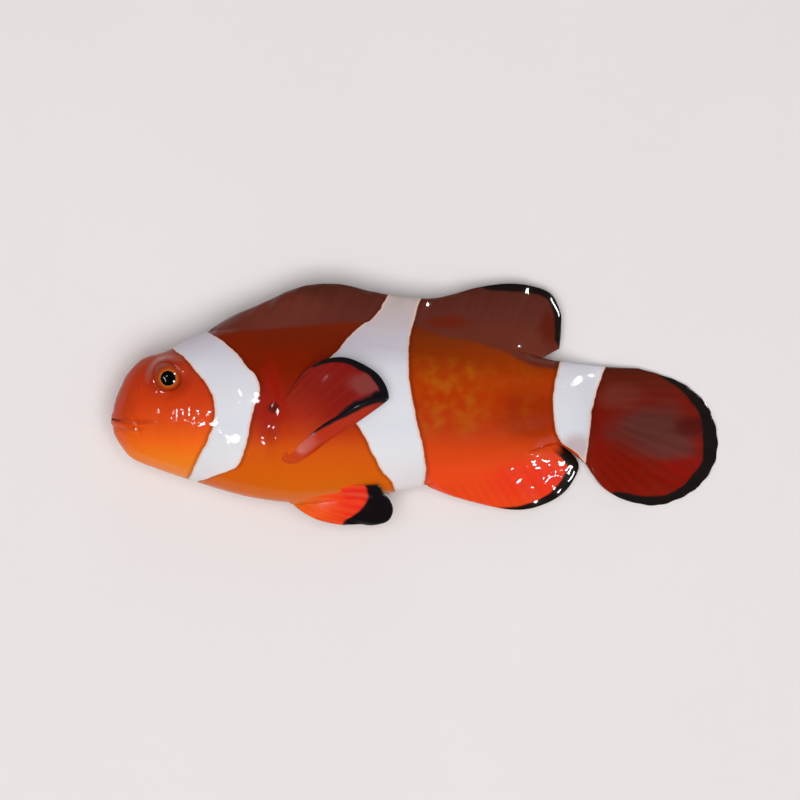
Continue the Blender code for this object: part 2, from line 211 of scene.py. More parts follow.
def flank_height(x, y):
    """Half width of the body at a plan spot, which is its height over the middle plane."""
    middle = along(WIDEST, x)
    reach = np.where(y > middle, along(BACK, x) - middle, middle - along(BELLY, x))
    return half_width(x, np.clip((y - middle) / reach, -1.0, 1.0))


# The skin of the body is one closed grid, with rows from the snout to the tail fin's edge. Each
# row runs round the body: anal fin, left flank, back fin, and the same on the right side.
HEAD_ROWS = 62
FIN_STEP = 0.245         # between rows where the back fin stands
STALK_ROWS = 8           # from the back fin's end to the fork, behind which the rows fan out
TAIL_ROWS = 56
ANAL_COLUMNS = 13
FLANK_COLUMNS = 88
BACK_COLUMNS = 15
FIN_START = DORSAL_RAYS[0][0]
FIN_END = DORSAL_RAYS[-1][0]
ANAL_START = ANAL_RAYS[0][0]
ANAL_END = ANAL_RAYS[-1][0]
FORK_X = ANAL_END
BACK_ROWS = round((FIN_END - FIN_START) / FIN_STEP)
BACK_END_ROW = HEAD_ROWS + BACK_ROWS
HALF_COLUMNS = ANAL_COLUMNS + FLANK_COLUMNS + BACK_COLUMNS
SPINE_STEP = 2.45        # between the hard spines of the front of the back fin
SPINES_END = -1.5
ROOT_HALF = 1.15         # how far a fin's root swells each way where it leaves the body
ROOT_REACH = 1.9         # and how far along the fin the swelling dies away
SOFT_RAY_STEP = 1.12
TAIL_RAYS = 15
FIN_PLATE = 0.13         # half thickness of a fin's web
RIM_ROUND = 0.2          # how far in from its free edge a fin is rounded off
GROW_IN = 1.5            # how far along it a fin's root takes to swell, and to die away behind
GROW_OUT = 4.5
OFF_FIN = 9.0            # stands for the distance to a fin's edge where there is no fin
HIP = 0.27               # share of the tail fan that is stalk
FLAT_FAN = 0.22          # height of the tail fin's middle where it lies on the floor
STALK_TAPER = ((22, 2.05), (24, 1.3), (26.5, 0.72), (29.5, 0.34), (33, 0.2), (37, 0.14),
               (40, 0.12))
DORSAL_DROOP = ((-27.3, 0.6), (-18, 1.0), (-8, 0.85), (-2.5, 0.6), (3, 0.9), (10, 0.95),
                (14, 0.7), (16.6, 0.45))


def stations():
    """The rows' x positions from the snout to the fork. Each fin's last row comes twice, with
    the fin and without it, which closes the fin's rear edge."""
    head = SNOUT_X + (FIN_START - SNOUT_X) * (np.arange(HEAD_ROWS) / HEAD_ROWS) ** 1.6
    fin = np.linspace(FIN_START, FIN_END, BACK_ROWS + 1)
    stalk = np.linspace(FIN_END, FORK_X, STALK_ROWS + 1)
    return np.concatenate((head, fin, stalk, [FORK_X]))


def ray_table(rays, ridge):
    """The rays with their first one shortened to nothing, so that the fin grows out of the body."""
    first = (rays[0][0], rays[0][0], float(along(ridge, rays[0][0])))
    return (first,) + rays[1:]


def fin_plan(rays, ridge, root_x, out):
    """Plan of a fin on a ridge of the body: the spot at a share out along the ray at root_x."""
    table = ray_table(rays, ridge)
    keys = [ray[0] for ray in table]
    rim_x = spline(keys, [ray[1] for ray in table], root_x)
    rim_y = spline(keys, [ray[2] for ray in table], root_x)
    root_y = along(ridge, root_x)
    return root_x + (rim_x - root_x) * out, root_y + (rim_y - root_y) * out


def fin_length(rays, ridge, root_x):
    """Length of the ray at root_x."""
    root, rim = (fin_plan(rays, ridge, root_x, out) for out in (0.0, 1.0))
    return np.hypot(rim[0] - root[0], rim[1] - root[1])


def grown(start, end, x):
    """How far the root of the fin between start and end has swollen at x."""
    return smooth(start, start + GROW_IN, x) * smooth(end, end - GROW_OUT, x)


def fin_outline(rays, ridge):
    """The free edge of a fin on a ridge, as plan points."""
    roots = np.linspace(rays[0][0], rays[-1][0], 240)
    rim = np.stack(fin_plan(rays, ridge, roots, 1.0), axis=-1)
    last = (rays[-1][0], float(along(ridge, rays[-1][0])))
    return np.concatenate((rim, [last]))


def ray_ripple(root_x):
    """0 to 1 across the fin: 1 on each hard spine or soft ray, 0 in the web between them."""
    spines = (root_x - FIN_START) / SPINE_STEP
    soft = (root_x - SPINES_END) / SOFT_RAY_STEP
    spiny = root_x < SPINES_END
    wave = 0.5 + 0.5 * np.cos(2 * math.pi * np.where(spiny, spines, soft))
    return np.where(spiny, 0.8 * wave ** 4, wave ** 2 * 0.5)


def rounded_rim(edge):
    """How much of a fin's thickness is left at a distance from its free edge."""
    return np.sqrt(1 - np.clip(1 - edge / RIM_ROUND, 0.0, 1.0) ** 2)


def fin_half(edge, ripple, out, root_gap, swollen):
    """Half thickness of a fin: rounded at its edge, thick at the root, raised on its rays."""
    root = ROOT_HALF * swollen * np.exp(-root_gap / ROOT_REACH)
    return (FIN_PLATE + root + 0.05 * ripple * out) * rounded_rim(edge)


def back_sag(root_x, out):
    """How far the back fin droops, with a slow wave along it between its spines."""
    share = through(DORSAL_DROOP, root_x)
    wave = 0.16 * np.sin(root_x * 1.15) + 0.1 * np.sin(root_x * 2.7 + 1.0)
    return DORSAL_SAG * share * out ** 1.6 + wave * out ** 2


def anal_sag(root_x, out):
    """How far the anal fin droops, and the pleats near its tip."""
    share = np.sin(math.pi * np.clip((root_x - ANAL_START) / (ANAL_END - ANAL_START) + 0.1, 0, 0.5))
    wave = 0.14 * np.sin(root_x * 2.1) * smooth(6, 13, root_x)
    return ANAL_SAG * share * out ** 1.4 + wave * out ** 1.5


def tail_middle(x):
    """Height of the tail fin's middle, down from the stalk to the floor."""
    fall = float(along(MIDDLE, TAIL_ROOT_X)) - FLAT_FAN
    bend = np.clip((TAIL_FIN_FLAT_X - x) / (TAIL_FIN_FLAT_X - TAIL_ROOT_X + 3), 0.0, 1.0)
    fan = FLAT_FAN + fall * bend ** 1.6
    return along(MIDDLE, x) + (fan - along(MIDDLE, x)) * smooth(FORK_X, 24, x)


def tail_half(x):
    """Half thickness of the stalk and the tail fin behind the fork."""
    return through(((FORK_X, float(along(HALF_WIDTH, FORK_X))), *STALK_TAPER), x)


def tail_spot(rise, out):
    """Plan of the tail fan: rise 1 is its top edge, -1 its lowest, and out runs to the rim."""
    u = (1 - rise) / 2
    start = np.stack(np.broadcast_arrays(FORK_X, body_ring(FORK_X, rise)[0]), axis=-1)
    root = on_edge(CAUDAL_ROOT, u)
    rim = on_edge(CAUDAL_RIM, u)
    lead = root - start
    slope_in = np.stack((np.hypot(lead[..., 0], lead[..., 1]) / HIP * 0.8,
                         lead[..., 1] / HIP * 0.6), axis=-1)
    middle_slope = rim - start
    end_slope = (rim - root) / (1 - HIP)
    out = np.broadcast_to(out, u.shape)
    near, far = np.clip(out / HIP, 0, 1), np.clip((out - HIP) / (1 - HIP), 0, 1)
    stalk = swing(start, root, slope_in, middle_slope, HIP, near[..., None])
    web = swing(root, rim, middle_slope, end_slope, 1 - HIP, far[..., None])
    spot = np.where((out < HIP)[..., None], stalk, web)
    bow = 0.55 * smooth(-0.4, -1.0, rise) * np.sin(math.pi * far)
    return spot + np.stack((-0.77 * bow, -0.64 * bow), axis=-1)


def tail_grid(flank, rise):
    """The rows that fan out from the fork to the tail fin's edge, for one side of the fish.

    Returns the plan spots, the height of the middle, the half thickness, the distance to the
    fin's edge, how far the fan has grown out of the stalk, the ray wave and the share out.
    """
    out = ((np.arange(1, TAIL_ROWS + 1) / TAIL_ROWS) ** 0.92)[:, None]
    even = 2 * flank - 1
    turned = rise + (even - rise) * smooth(0.0, 0.5, out)
    spot = tail_spot(turned, out + np.zeros(len(flank)))
    rim = tail_spot(turned, np.ones_like(turned))
    rim_gap = (1 - out) * np.linalg.norm(rim - tail_spot(turned, np.zeros_like(turned)), axis=-1)
    level = np.linspace(1, -1, 60)
    way = np.linspace(0.3, 1, 20)
    outline = np.concatenate((tail_spot(np.full(20, 1.0), way), tail_spot(level, np.ones(60)),
                              tail_spot(np.full(20, -1.0), way[::-1])))
    x, y = spot[..., 0], spot[..., 1]
    edge = to_line(x, y, outline)
    wave = 0.5 + 0.5 * np.cos(math.pi * TAIL_RAYS * (turned + 1))
    fan = smooth(0.25, 0.45, out)
    power = 2 + 10 * smooth(0.2, 0.6, out)
    profile = np.sqrt(np.clip(1 - np.abs(turned) ** power, 0, 1))
    profile *= 1 - RIDGE * turned ** 2 * smooth(0.3, 0.0, out)
    near_rim = np.clip(1 - rim_gap / 0.35, 0, 1)
    wide = (tail_half(x) + 0.045 * wave * fan) * profile * np.sqrt(1 - near_rim ** 2)
    crease = 0.22 * bell(y + 2.1, 0.5) * smooth(25, 29, x)
    roll = 0.1 * np.sin(y * 1.3 + x * 0.3) * smooth(26, 32, x)
    middle = tail_middle(x) + crease + np.maximum(roll, -0.04)
    notch = 0.13 * (wave - 0.5) * smooth(0.9, 1.0, out)
    spot = spot + unit(rim - tail_spot(turned, np.full_like(turned, 0.9))) * notch[..., None]
    return spot, middle, wide, edge, fan + 0 * turned, wave, out


def skin_grid():
    """The points of the skin before its relief, and the facts that its finish reads.

    Returns arrays of shape (rows, columns): the points, the left or right side, and for each
    point the fin share (0 on the body), the distance to a fin's free edge and the ray ripple.
    """
    body_x = stations()
    k = np.arange(HALF_COLUMNS + 1)
    flank = np.clip((k - ANAL_COLUMNS) / FLANK_COLUMNS, 0, 1)
    rise = np.sin((flank - 0.5) * math.pi)
    x = body_x[:, None] + np.zeros(HALF_COLUMNS + 1)
    y, wide = body_ring(x, rise[None, :])
    row = np.arange(len(body_x))[:, None]
    has_back = (row >= HEAD_ROWS) & (row <= BACK_END_ROW)
    has_anal = (x >= ANAL_START) & (row < len(body_x) - 1)
    first_anal = int(has_anal[:, 0].argmax())
    back_out = np.clip((k - ANAL_COLUMNS - FLANK_COLUMNS) / BACK_COLUMNS, 0, 1)
    back_out = np.where(has_back, back_out, 0.0)
    anal_out = np.where(has_anal, np.clip(1 - k / ANAL_COLUMNS, 0, 1), 0.0)
    on_back, on_anal = back_out > 0, anal_out > 0
    on_fin = on_back | on_anal

    plan_x, plan_y = x, y
    edge = np.full(x.shape, OFF_FIN)
    for rays, ridge, out, here, rows in (
            (DORSAL_RAYS, BACK, back_out, on_back, (HEAD_ROWS, BACK_END_ROW)),
            (ANAL_RAYS, BELLY, anal_out, on_anal, (first_anal, len(body_x) - 2))):
        fin_x, fin_y = fin_plan(rays, ridge, x, out)
        plan_x, plan_y = np.where(here, fin_x, plan_x), np.where(here, fin_y, plan_y)
        edge[here] = to_line(plan_x[here], plan_y[here], fin_outline(rays, ridge))
        edge[out == 1] = 0.0
        for end in rows:
            edge[end, here[end]] = 0.0
    ripple = ray_ripple(x)

    # Where a fin stands, its root widens the ridge under it in a smooth hollow curve
    back_length = fin_length(DORSAL_RAYS, BACK, x)
    anal_length = fin_length(ANAL_RAYS, BELLY, x)
    root_gap = back_out * back_length + anal_out * anal_length
    above = rise[None, :] > 0
    root = np.where(above, grown(FIN_START, FIN_END, x), grown(ANAL_START, ANAL_END, x))
    web = fin_half(edge, ripple, back_out + anal_out, root_gap, root)
    inwards = np.where(above, along(BACK, x) - y, y - along(BELLY, x))
    swell = FIN_PLATE + ROOT_HALF * (1 + inwards / ROOT_REACH * np.exp(-inwards / 1.4))
    foot = np.where(on_fin, web, swell * root)
    wide = (np.where(on_fin, 0.0, wide) ** 3 + foot ** 3) ** (1 / 3)
    sag = np.where(on_back, back_sag(x, back_out) * smooth(0.0, 2.2, back_length), 0.0)
    sag = np.where(on_anal, anal_sag(x, anal_out) * smooth(0.0, 1.2, anal_length), sag)
    middle = along(MIDDLE, np.where(on_fin, plan_x, x)) - sag

    spot, tail_mid, tail_wide, tail_edge, fan, wave, out = tail_grid(flank, rise)
    plan_x, plan_y = np.concatenate((plan_x, spot[..., 0])), np.concatenate((plan_y, spot[..., 1]))
    middle, wide = np.concatenate((middle, tail_mid)), np.concatenate((wide, tail_wide))
    edge = np.concatenate((edge, np.where(fan > 0.01, tail_edge, OFF_FIN)))
    fin = np.concatenate((np.where(on_fin, back_out + anal_out, 0.0), fan * out))
    ripple = np.concatenate((np.where(on_fin, ripple, 0.0), wave * fan))
    points = np.stack([there_and_back(left, right) for left, right in (
        (plan_x, plan_x), (plan_y, plan_y), (middle + wide, middle - wide))], axis=-1)
    side = there_and_back(np.ones_like(wide), -np.ones_like(wide))
    fin, edge, ripple = (there_and_back(fact, fact) for fact in (fin, edge, ripple))
    return points, side, fin, edge, ripple


# Landmarks of the head and the flank, in plan
GILL_EDGE = ((-26.5, -10.4), (-24.6, -9.6), (-22.6, -8), (-20.8, -5.5), (-19.6, -3), (-18.5, -0.8),
             (-18.0, 1.0), (-18.3, 2.6), (-19.6, 4.8), (-21.8, 6.6), (-23.6, 7.6))
CHEEK_EDGE = ((-30.6, -8.2), (-28.9, -6.4), (-27.9, -4), (-27.4, -1.2), (-27.3, 1.4), (-27.8, 3.6))
MOUTH = ((-40.5, -1.9), (-39.5, -2.05), (-38.4, -2.3), (-37.4, -2.75), (-36.9, -3.1))
NOSTRIL = (-36.5, 2.1)
SIDE_FIN_BED = (-11.5, -1.4, 6.5, 6.3)   # centre and radii of the hollow over the lower side fin
BED_HEIGHT = 0.56
FLOOR_GAP = 0.02         # nothing of the fish lies lower than this
ORBIT = 3.3              # how far round the eye's middle its lid reaches
LATERAL_LINE = ((-20.5, 6.0), (-14, 7.6), (-6, 7.9), (2, 7.0), (9, 5.3), (13, 4.2))


def eye_relief(x, y):
    """The orbit: the skin rises to a soft lid round the eyeball, and dives under it."""
    r = np.hypot(x - EYE_X, y - EYE_Y)
    seat = flank_height(EYE_X, EYE_Y) + EYE_BULGE - EYE_RADIUS
    lid = seat + math.sqrt(EYE_RADIUS ** 2 - LID_RADIUS ** 2) + COAT_DEPTH + 0.04
    near = r < ORBIT
    flank = flank_height(np.where(near, x, EYE_X), np.where(near, y, EYE_Y))
    raised = np.clip(lid - flank, -0.35, 0.85) * smooth(ORBIT, LID_RADIUS, r)
    return raised - 1.6 * smooth(LID_RADIUS - 0.03, 1.15, r)


def mouth_relief(x, y):
    """The closed mouth: a slit between two low lips, fading out behind its corner."""
    line = to_line(x, y, MOUTH)
    over = y > through(MOUTH, x)
    lip = 0.17 * bell(line - 0.4, 0.28) * np.where(over, 0.8, 1.15)
    slit = -0.34 * bell(line, 0.13)
    corner = smooth(-36.3, -37.2, x)
    fold = -0.1 * bell(to_line(x, y, ((-37.6, -0.9), (-36.6, -2.2), (-36.2, -4.0))), 0.22)
    return (lip + slit) * corner + fold


def gill_relief(x, y):
    """The gill cover's free edge, a soft flap, and the faint ridge of the cheek bone."""
    behind = x - across_at(GILL_EDGE, y)
    span = smooth(-5.0, -0.5, y) * smooth(6.6, 4.2, y)
    near = to_line(x, y, GILL_EDGE)
    lift = 0.1 * bell(near, 1.5) * smooth(0.14, -0.14, behind)
    under = -0.08 * bell(near, 0.7) * smooth(-0.05, 0.2, behind)
    roll = 0.03 * bell(near - 0.3, 0.3) * (behind < 0)
    cheek = across_at(CHEEK_EDGE, y)
    step = -0.03 * bell(x - cheek, 0.35) * smooth(-8.6, -7, y) * smooth(4.0, 2.6, y)
    puff = 0.1 * bell(np.hypot((x + 23.3) / 3.2, (y + 0.5) / 5.0), 1.0)
    return (lift + under + roll + puff) * span + step


def flank_relief(x, y):
    """The side fin's fleshy base, the vent, the nostril and the line of pores on the flank."""
    base = 0.42 * bell(np.hypot((x + 17.9) / 1.7, (y + 3.4) / 3.9), 1.0) ** 1.5
    vent = 0.5 * bell(np.hypot(x + 3.4, (y + 10.9) * 0.9), 0.75)
    spot = np.hypot(x - NOSTRIL[0], y - NOSTRIL[1])
    nostril = 0.1 * bell(spot - 0.34, 0.16) - 0.22 * bell(spot, 0.2)
    pores = -0.035 * bell(to_line(x, y, LATERAL_LINE), 0.22)
    throat = 0.1 * bell(to_line(x, y, ((-37.4, -6.6), (-34.5, -8.2), (-31.5, -9.0))), 0.35)
    return base + vent + nostril + pores - throat


def relief(x, y):
    """How far the skin stands out of the plain body at a plan spot."""
    return eye_relief(x, y) + mouth_relief(x, y) + gill_relief(x, y) + flank_relief(x, y)


def grid_normals(points, side):
    """Unit normals of a grid of points, turned outwards."""
    normal = unit(np.cross(np.gradient(points, axis=0), np.gradient(points, axis=1)))
    return normal * np.where((normal[..., 2:] * side[..., None]).mean() < 0, -1.0, 1.0)


def dressed_skin():
    """The skin's final points and outward normals, with its relief, and the facts of its grid."""
    points, side, fin, edge, ripple = skin_grid()
    normal = grid_normals(points, side)
    body = len(stations())
    twins = (BACK_END_ROW, body - 2)
    for row in twins:
        # A row that comes twice has one normal, so that both copies stay together
        normal[row] = normal[row + 1] = unit(normal[row] + normal[row + 1])
    belly, back = ANAL_COLUMNS, ANAL_COLUMNS + FLANK_COLUMNS
    last = points.shape[1] - 1
    for first, end, ridge, sign in ((0, belly, belly, -1.0), (back, HALF_COLUMNS, back, 1.0)):
        # Each ridge and the fin on it move as one, straight away from the body's middle
        at = points[:, ridge]
        slope = np.gradient(at[:, 1]) / np.maximum(np.gradient(at[:, 0]), 0.02)
        up = np.stack((-sign * slope, np.full_like(slope, sign), np.zeros_like(slope)), axis=-1)
        up = unit(up)
        for row in twins:
            up[row + 1] = up[row]
        for columns in (slice(first, end + 1), slice(last - end, last - first + 1)):
            normal[:, columns] = up[:, None]
    normal[0] = (-1.0, 0.0, 0.0)
    x, y = points[..., 0], points[..., 1]
    stand = relief(x, y) - COAT_DEPTH
    stand *= 1 - grown(FIN_START, FIN_END, x) * smooth(2.2, 0.3, along(BACK, x) - y)
    stand *= 1 - grown(ANAL_START, ANAL_END, x) * smooth(2.2, 0.3, y - along(BELLY, x))
    stand[:, :belly] = stand[:, belly:belly + 1]
    stand[:, last - belly + 1:] = stand[:, belly:belly + 1]
    stand[:, back + 1:last - back] = stand[:, back:back + 1]
    fade = smooth(0.3, 0.0, (np.arange(TAIL_ROWS) + 1) / TAIL_ROWS)[:, None]
    stand[body:] = -COAT_DEPTH * fade
    keep = np.where(fin > 0, 1 - smooth(0.0, 0.3, fin), 1.0)
    keep[body:] = 1.0
    points = points + normal * (stand * keep)[..., None]
    points[..., 2] = rest_on_floor(points, side)
    anal_row = int((stations() >= ANAL_START).argmax())
    for row, ridge, rim, still in ((HEAD_ROWS, back, HALF_COLUMNS, 0.0), (anal_row, belly, 0, 0.0),
                                   (BACK_END_ROW, back, HALF_COLUMNS, 1.0),
                                   (body - 2, belly, 0, 1.0)):
        # A fin starts from a point of its ridge, and ends in a straight edge
        foot = points[row, [ridge, last - ridge]].mean(axis=0)
        points[row, ridge] = points[row, last - ridge] = foot
        for root, tip in ((ridge, rim), (last - ridge, last - rim)):
            step = 1 if tip > root else -1
            columns = np.arange(root, tip + step, step)
            way = np.linspace(0, still, len(columns))[:, None]
            points[row, columns] = points[row, root] + way * (points[row, tip] - points[row, root])
    return points, normal, side, fin, edge, ripple


def rest_level(x, y, side):
    """The level that a spot lies on: the floor, or the side fin under the right flank."""
    centre_x, centre_y, radius_x, radius_y = SIDE_FIN_BED
    inside = smooth(1.12, 0.86, np.hypot((x - centre_x) / radius_x, (y - centre_y) / radius_y))
    return FLOOR_GAP + BED_HEIGHT * inside * (side < 0)


def rest_on_floor(points, side):
    """Heights with nothing below the level that it lies on, in a soft turn."""
    soft = 0.12
    over = points[..., 2] - rest_level(points[..., 0], points[..., 1], side)
    return points[..., 2] - over + 0.5 * (over + np.sqrt(over ** 2 + soft ** 2))


THINNEST = 1e-4          # a face with less area, as a share of its longest edge squared, is a line
WELD = 0.0006            # points closer than this are one point


def wrap(name, points, facts):
    """A closed mesh from a grid of points whose opposite edges meet, in metres.

    facts are named arrays of the grid's shape, kept on the mesh as attributes.
    """
    rows, columns = points.shape[0] - 1, points.shape[1] - 1
    bm = bmesh.new()
    bmesh.ops.create_grid(bm, x_segments=columns, y_segments=rows, size=0.5)
    mesh = bpy.data.meshes.new(name)
    bm.to_mesh(mesh)
    flat = np.empty(len(mesh.vertices) * 3)
    mesh.vertices.foreach_get("co", flat)
    flat = flat.reshape(-1, 3)
    column = np.rint((flat[:, 0] + 0.5) * columns).astype(int)
    row = np.rint((flat[:, 1] + 0.5) * rows).astype(int)
    mesh.vertices.foreach_set("co", points[row, column].ravel())
    for fact, values in facts.items():
        layer = mesh.attributes.new(fact, "FLOAT", "POINT")
        layer.data.foreach_set("value", values[row, column].astype(float))
    bm.free()
    bm = bmesh.new()
    bm.from_mesh(mesh)
    bmesh.ops.remove_doubles(bm, verts=bm.verts, dist=WELD)
    slivers = [face for face in bm.faces
               if face.calc_area() < THINNEST * max(e.calc_length() for e in face.edges) ** 2]
    bmesh.ops.delete(bm, geom=slivers, context="FACES")
    loose = [vert for vert in bm.verts if not vert.link_faces]
    bmesh.ops.delete(bm, geom=loose, context="VERTS")
    bmesh.ops.recalc_face_normals(bm, faces=bm.faces)
    if bm.calc_volume(signed=True) < 0:
        bmesh.ops.reverse_faces(bm, faces=bm.faces)
    bmesh.ops.scale(bm, vec=(MM, MM, MM), verts=bm.verts)
    rim = bm.verts.layers.float["edge"]
    for face in bm.faces:
        face.smooth = True
    for line in bm.edges:
        line.smooth = not all(vert[rim] < 0.01 for vert in line.verts)
    bm.to_mesh(mesh)
    bm.free()
    return mesh


# The paired fins
LEFT_SIDE_ROOT = ((-17.9, 2.2), (-17.7, -1.0), (-17.2, -4.6), (-16.7, -7.5))
LEFT_SIDE_RIM = ((-15.2, 3.2), (-14, 4.4), (-12, 5.7), (-9, 6.3), (-6, 5.75), (-4.3, 5.0),
                 (-3.25, 4.0), (-2.75, 3.0), (-2.65, 2.1))
CREASE = ((-17.3, -6.5), (-16.9, -7.3), (-16.0, -7.55), (-14, -6.6), (-11, -4.35), (-8, -2.5),
          (-5, -0.4), (-3.7, 0.6), (-2.85, 1.35))
RIGHT_SIDE_ROOT = ((-17.6, 1.2), (-17.4, -4.6))
RIGHT_SIDE_RIM = ((-14.5, 3.6), (-10.5, 4.4), (-7.0, 2.6), (-5.8, -0.6), (-6.8, -3.8),
                  (-9.6, -6.4), (-14.0, -7.2))
BELLY_FIN_ROOT = ((-16.4, -11.6), (-16.9, -12.5))
BELLY_FIN_RIM = ((-4.8, -10.6), (-4.3, -11.6), (-3.4, -12.6), (-3.0, -13.9), (-3.6, -15.3),
                 (-5.2, -15.85), (-7.5, -15.75), (-9.6, -15.8))
BLADE_SHARE = 0.6        # of the side fin's width; its lower rays take the fold and the flap
FOLD_SHARE = 0.14
RIM_SHARE = 0.93         # of the blade's rim that lies ahead of the fold
CREASE_PULL = 0.75 / 14  # how far the fold's own direction gives way to that of the whole crease
FLAP_WIDTH = ((0, 1.2), (0.15, 1.6), (0.4, 1.75), (0.7, 1.5), (0.86, 0.95), (0.93, 0.35), (1, 0.1))


def between(root, rim, u, v):
    """The plan spots a share v of the way from a fin's root to its rim, at u along both."""
    a, b = on_edge(root, u), on_edge(rim, u)
    return a + (b - a) * v[..., None]


def with_height(spot, height):
    """Plan spots with their heights, as points."""
    return np.concatenate((spot, height[..., None]), axis=-1)


def left_side_fin(u, v):
    """Middle surface of the left side fin, whose lower rays fold back over its blade."""
    v = v * (1 - 0.05 * bell(np.minimum(u - BLADE_SHARE - FOLD_SHARE / 2, 0), 0.14))
    crease = on_edge(CREASE, v)
    ahead = on_edge(CREASE, np.minimum(v + 0.02, 1)) - on_edge(CREASE, np.maximum(v - 0.02, 0))
    ahead += CREASE_PULL * (np.array(CREASE[-1]) - np.array(CREASE[1]))
    ahead /= np.linalg.norm(ahead, axis=-1, keepdims=True)
    inward = np.stack((-ahead[..., 1], ahead[..., 0]), axis=-1)
    radius = 0.2 + 0.16 * v
    share = np.clip(u / BLADE_SHARE, 0, 1)
    on_blade = u <= BLADE_SHARE
    blade = between(LEFT_SIDE_ROOT, LEFT_SIDE_RIM, RIM_SHARE * share, v)
    meet = crease + inward * radius[..., None]
    last = between(LEFT_SIDE_ROOT, LEFT_SIDE_RIM, RIM_SHARE + 0 * v, v)
    blade = blade + (meet - last) * smooth(0.3, 1.0, share)[..., None]
    turn = math.pi * (np.clip((u - BLADE_SHARE) / FOLD_SHARE, 0, 1) - 0.5)
    beyond = np.clip((u - BLADE_SHARE - FOLD_SHARE) / (1 - BLADE_SHARE - FOLD_SHARE), 0, 1)
    reach = radius * (1 - np.cos(turn)) + through(FLAP_WIDTH, v) * beyond
    spot = np.where(on_blade[..., None], blade, crease + inward * reach[..., None])

    level_at = np.where(on_blade[..., None], blade, meet)
    flank = along(MIDDLE, level_at[..., 0]) + flank_height(level_at[..., 0], level_at[..., 1])
    clear = -0.5 + 2.4 * v ** 1.4 - 1.8 * smooth(0.26, 0.0, share)
    rise = radius * (1 + np.sin(turn)) * ~on_blade - 0.3 * beyond * radius
    cup = bell(share - 0.45, 0.4) - bell(1 - 0.45, 0.4) * smooth(0.7, 1.0, share)
    pleat = 0.05 * np.sin(2 * math.pi * 2.6 * share ** 1.3) * v * smooth(1.0, 0.8, share)
    return with_height(spot, flank + clear + rise + 0.3 * cup * v * on_blade + pleat)


def right_side_fin(u, v):
    """Middle surface of the right side fin, pressed flat between the flank and the floor."""
    height = 0.24 + 0.35 * smooth(0.25, 0.0, v) + 0.04 * np.sin(2 * math.pi * 7 * u) * v
    return with_height(between(RIGHT_SIDE_ROOT, RIGHT_SIDE_RIM, u, v), height)


def belly_fin(side, reach):
    """Middle surface of a belly fin; the left one hangs over the belly's edge."""
    def middle(u, v):
        root = on_edge(BELLY_FIN_ROOT, u)
        rim = np.array(BELLY_FIN_ROOT[0]) + (on_edge(BELLY_FIN_RIM, u) - BELLY_FIN_ROOT[0]) * reach
        ray = rim - root
        across = np.stack((-ray[..., 1], ray[..., 0]), axis=-1)
        across /= np.linalg.norm(across, axis=-1, keepdims=True)
        bow = (0.3 - 1.1 * u) * np.sin(math.pi * v)
        spot = root + ray * v[..., None] + across * bow[..., None]
        out = (-10.6 - spot[..., 1]) / 5.3
        if side > 0:
            hang = 3.35 - 3.0 * out - 0.7 * v * out
            sunk = np.minimum(flank_height(spot[..., 0], spot[..., 1]), 4.0) - 0.5
            sunk -= 0.5 * smooth(0.15, 0.0, v)
            free = smooth(0.0, 0.55, v) * np.maximum(smooth(0.0, 0.4, u), smooth(0.35, 0.9, v))
            height = along(MIDDLE, spot[..., 0]) + sunk + (hang - sunk) * free
        else:
            height = np.maximum(0.4, 3.85 - 2.0 * v ** 0.6 - 1.4 * v * out)
        pleat = 0.055 * np.sin(2 * math.pi * 2.6 * u ** 1.3 + 1.0) * v
        return with_height(spot, height + pleat)
    return middle


def fin_shell(name, columns, rows, middle, plate, root_half, rays):
    """A closed paired fin round its middle surface, its root swollen and sunk in the body."""
    u, v = np.meshgrid(np.linspace(0, 1, columns + 1), np.linspace(0, 1, rows + 1) ** 0.9)
    centre = middle(u, v)
    normal = unit(np.cross(np.gradient(centre, axis=0), np.gradient(centre, axis=1)))
    edge = np.min([np.linalg.norm(centre - rim, axis=-1)
                   for rim in (centre[-1:], centre[:, :1], centre[:, -1:])], axis=0)
    ripple = 0.5 + 0.5 * np.cos(2 * math.pi * rays * u)
    half = plate + (root_half - plate) * np.exp(-v / 0.12) + 0.007 * ripple * smooth(0.05, 0.3, v)
    half = half * rounded_rim(edge) * (v > 0)
    offset = normal * half[..., None]
    points = there_and_back(centre + offset, centre - offset)
    points[..., 2] = np.maximum(points[..., 2], FLOOR_GAP)
    facts = {"fin": v, "edge": edge, "ripple": ripple, "across": u}
    return wrap(name, points, {fact: there_and_back(a, a) for fact, a in facts.items()})


# The number of its finish on the skin, and each paired fin's shell: its columns and rows, its
# middle surface, half thickness of its web and of its root, and how many rays it has
PAIRED_FINS = ((1, ("side_fin_left", 96, 52, left_side_fin, 0.12, 0.5, 16)),
               (1, ("side_fin_right", 48, 30, right_side_fin, 0.12, 0.4, 14)),
               (2, ("belly_fin_left", 60, 44, belly_fin(1, 1.0), 0.14, 0.32, 7)),
               (2, ("belly_fin_right", 60, 44, belly_fin(-1, 0.94), 0.14, 0.32, 7)))


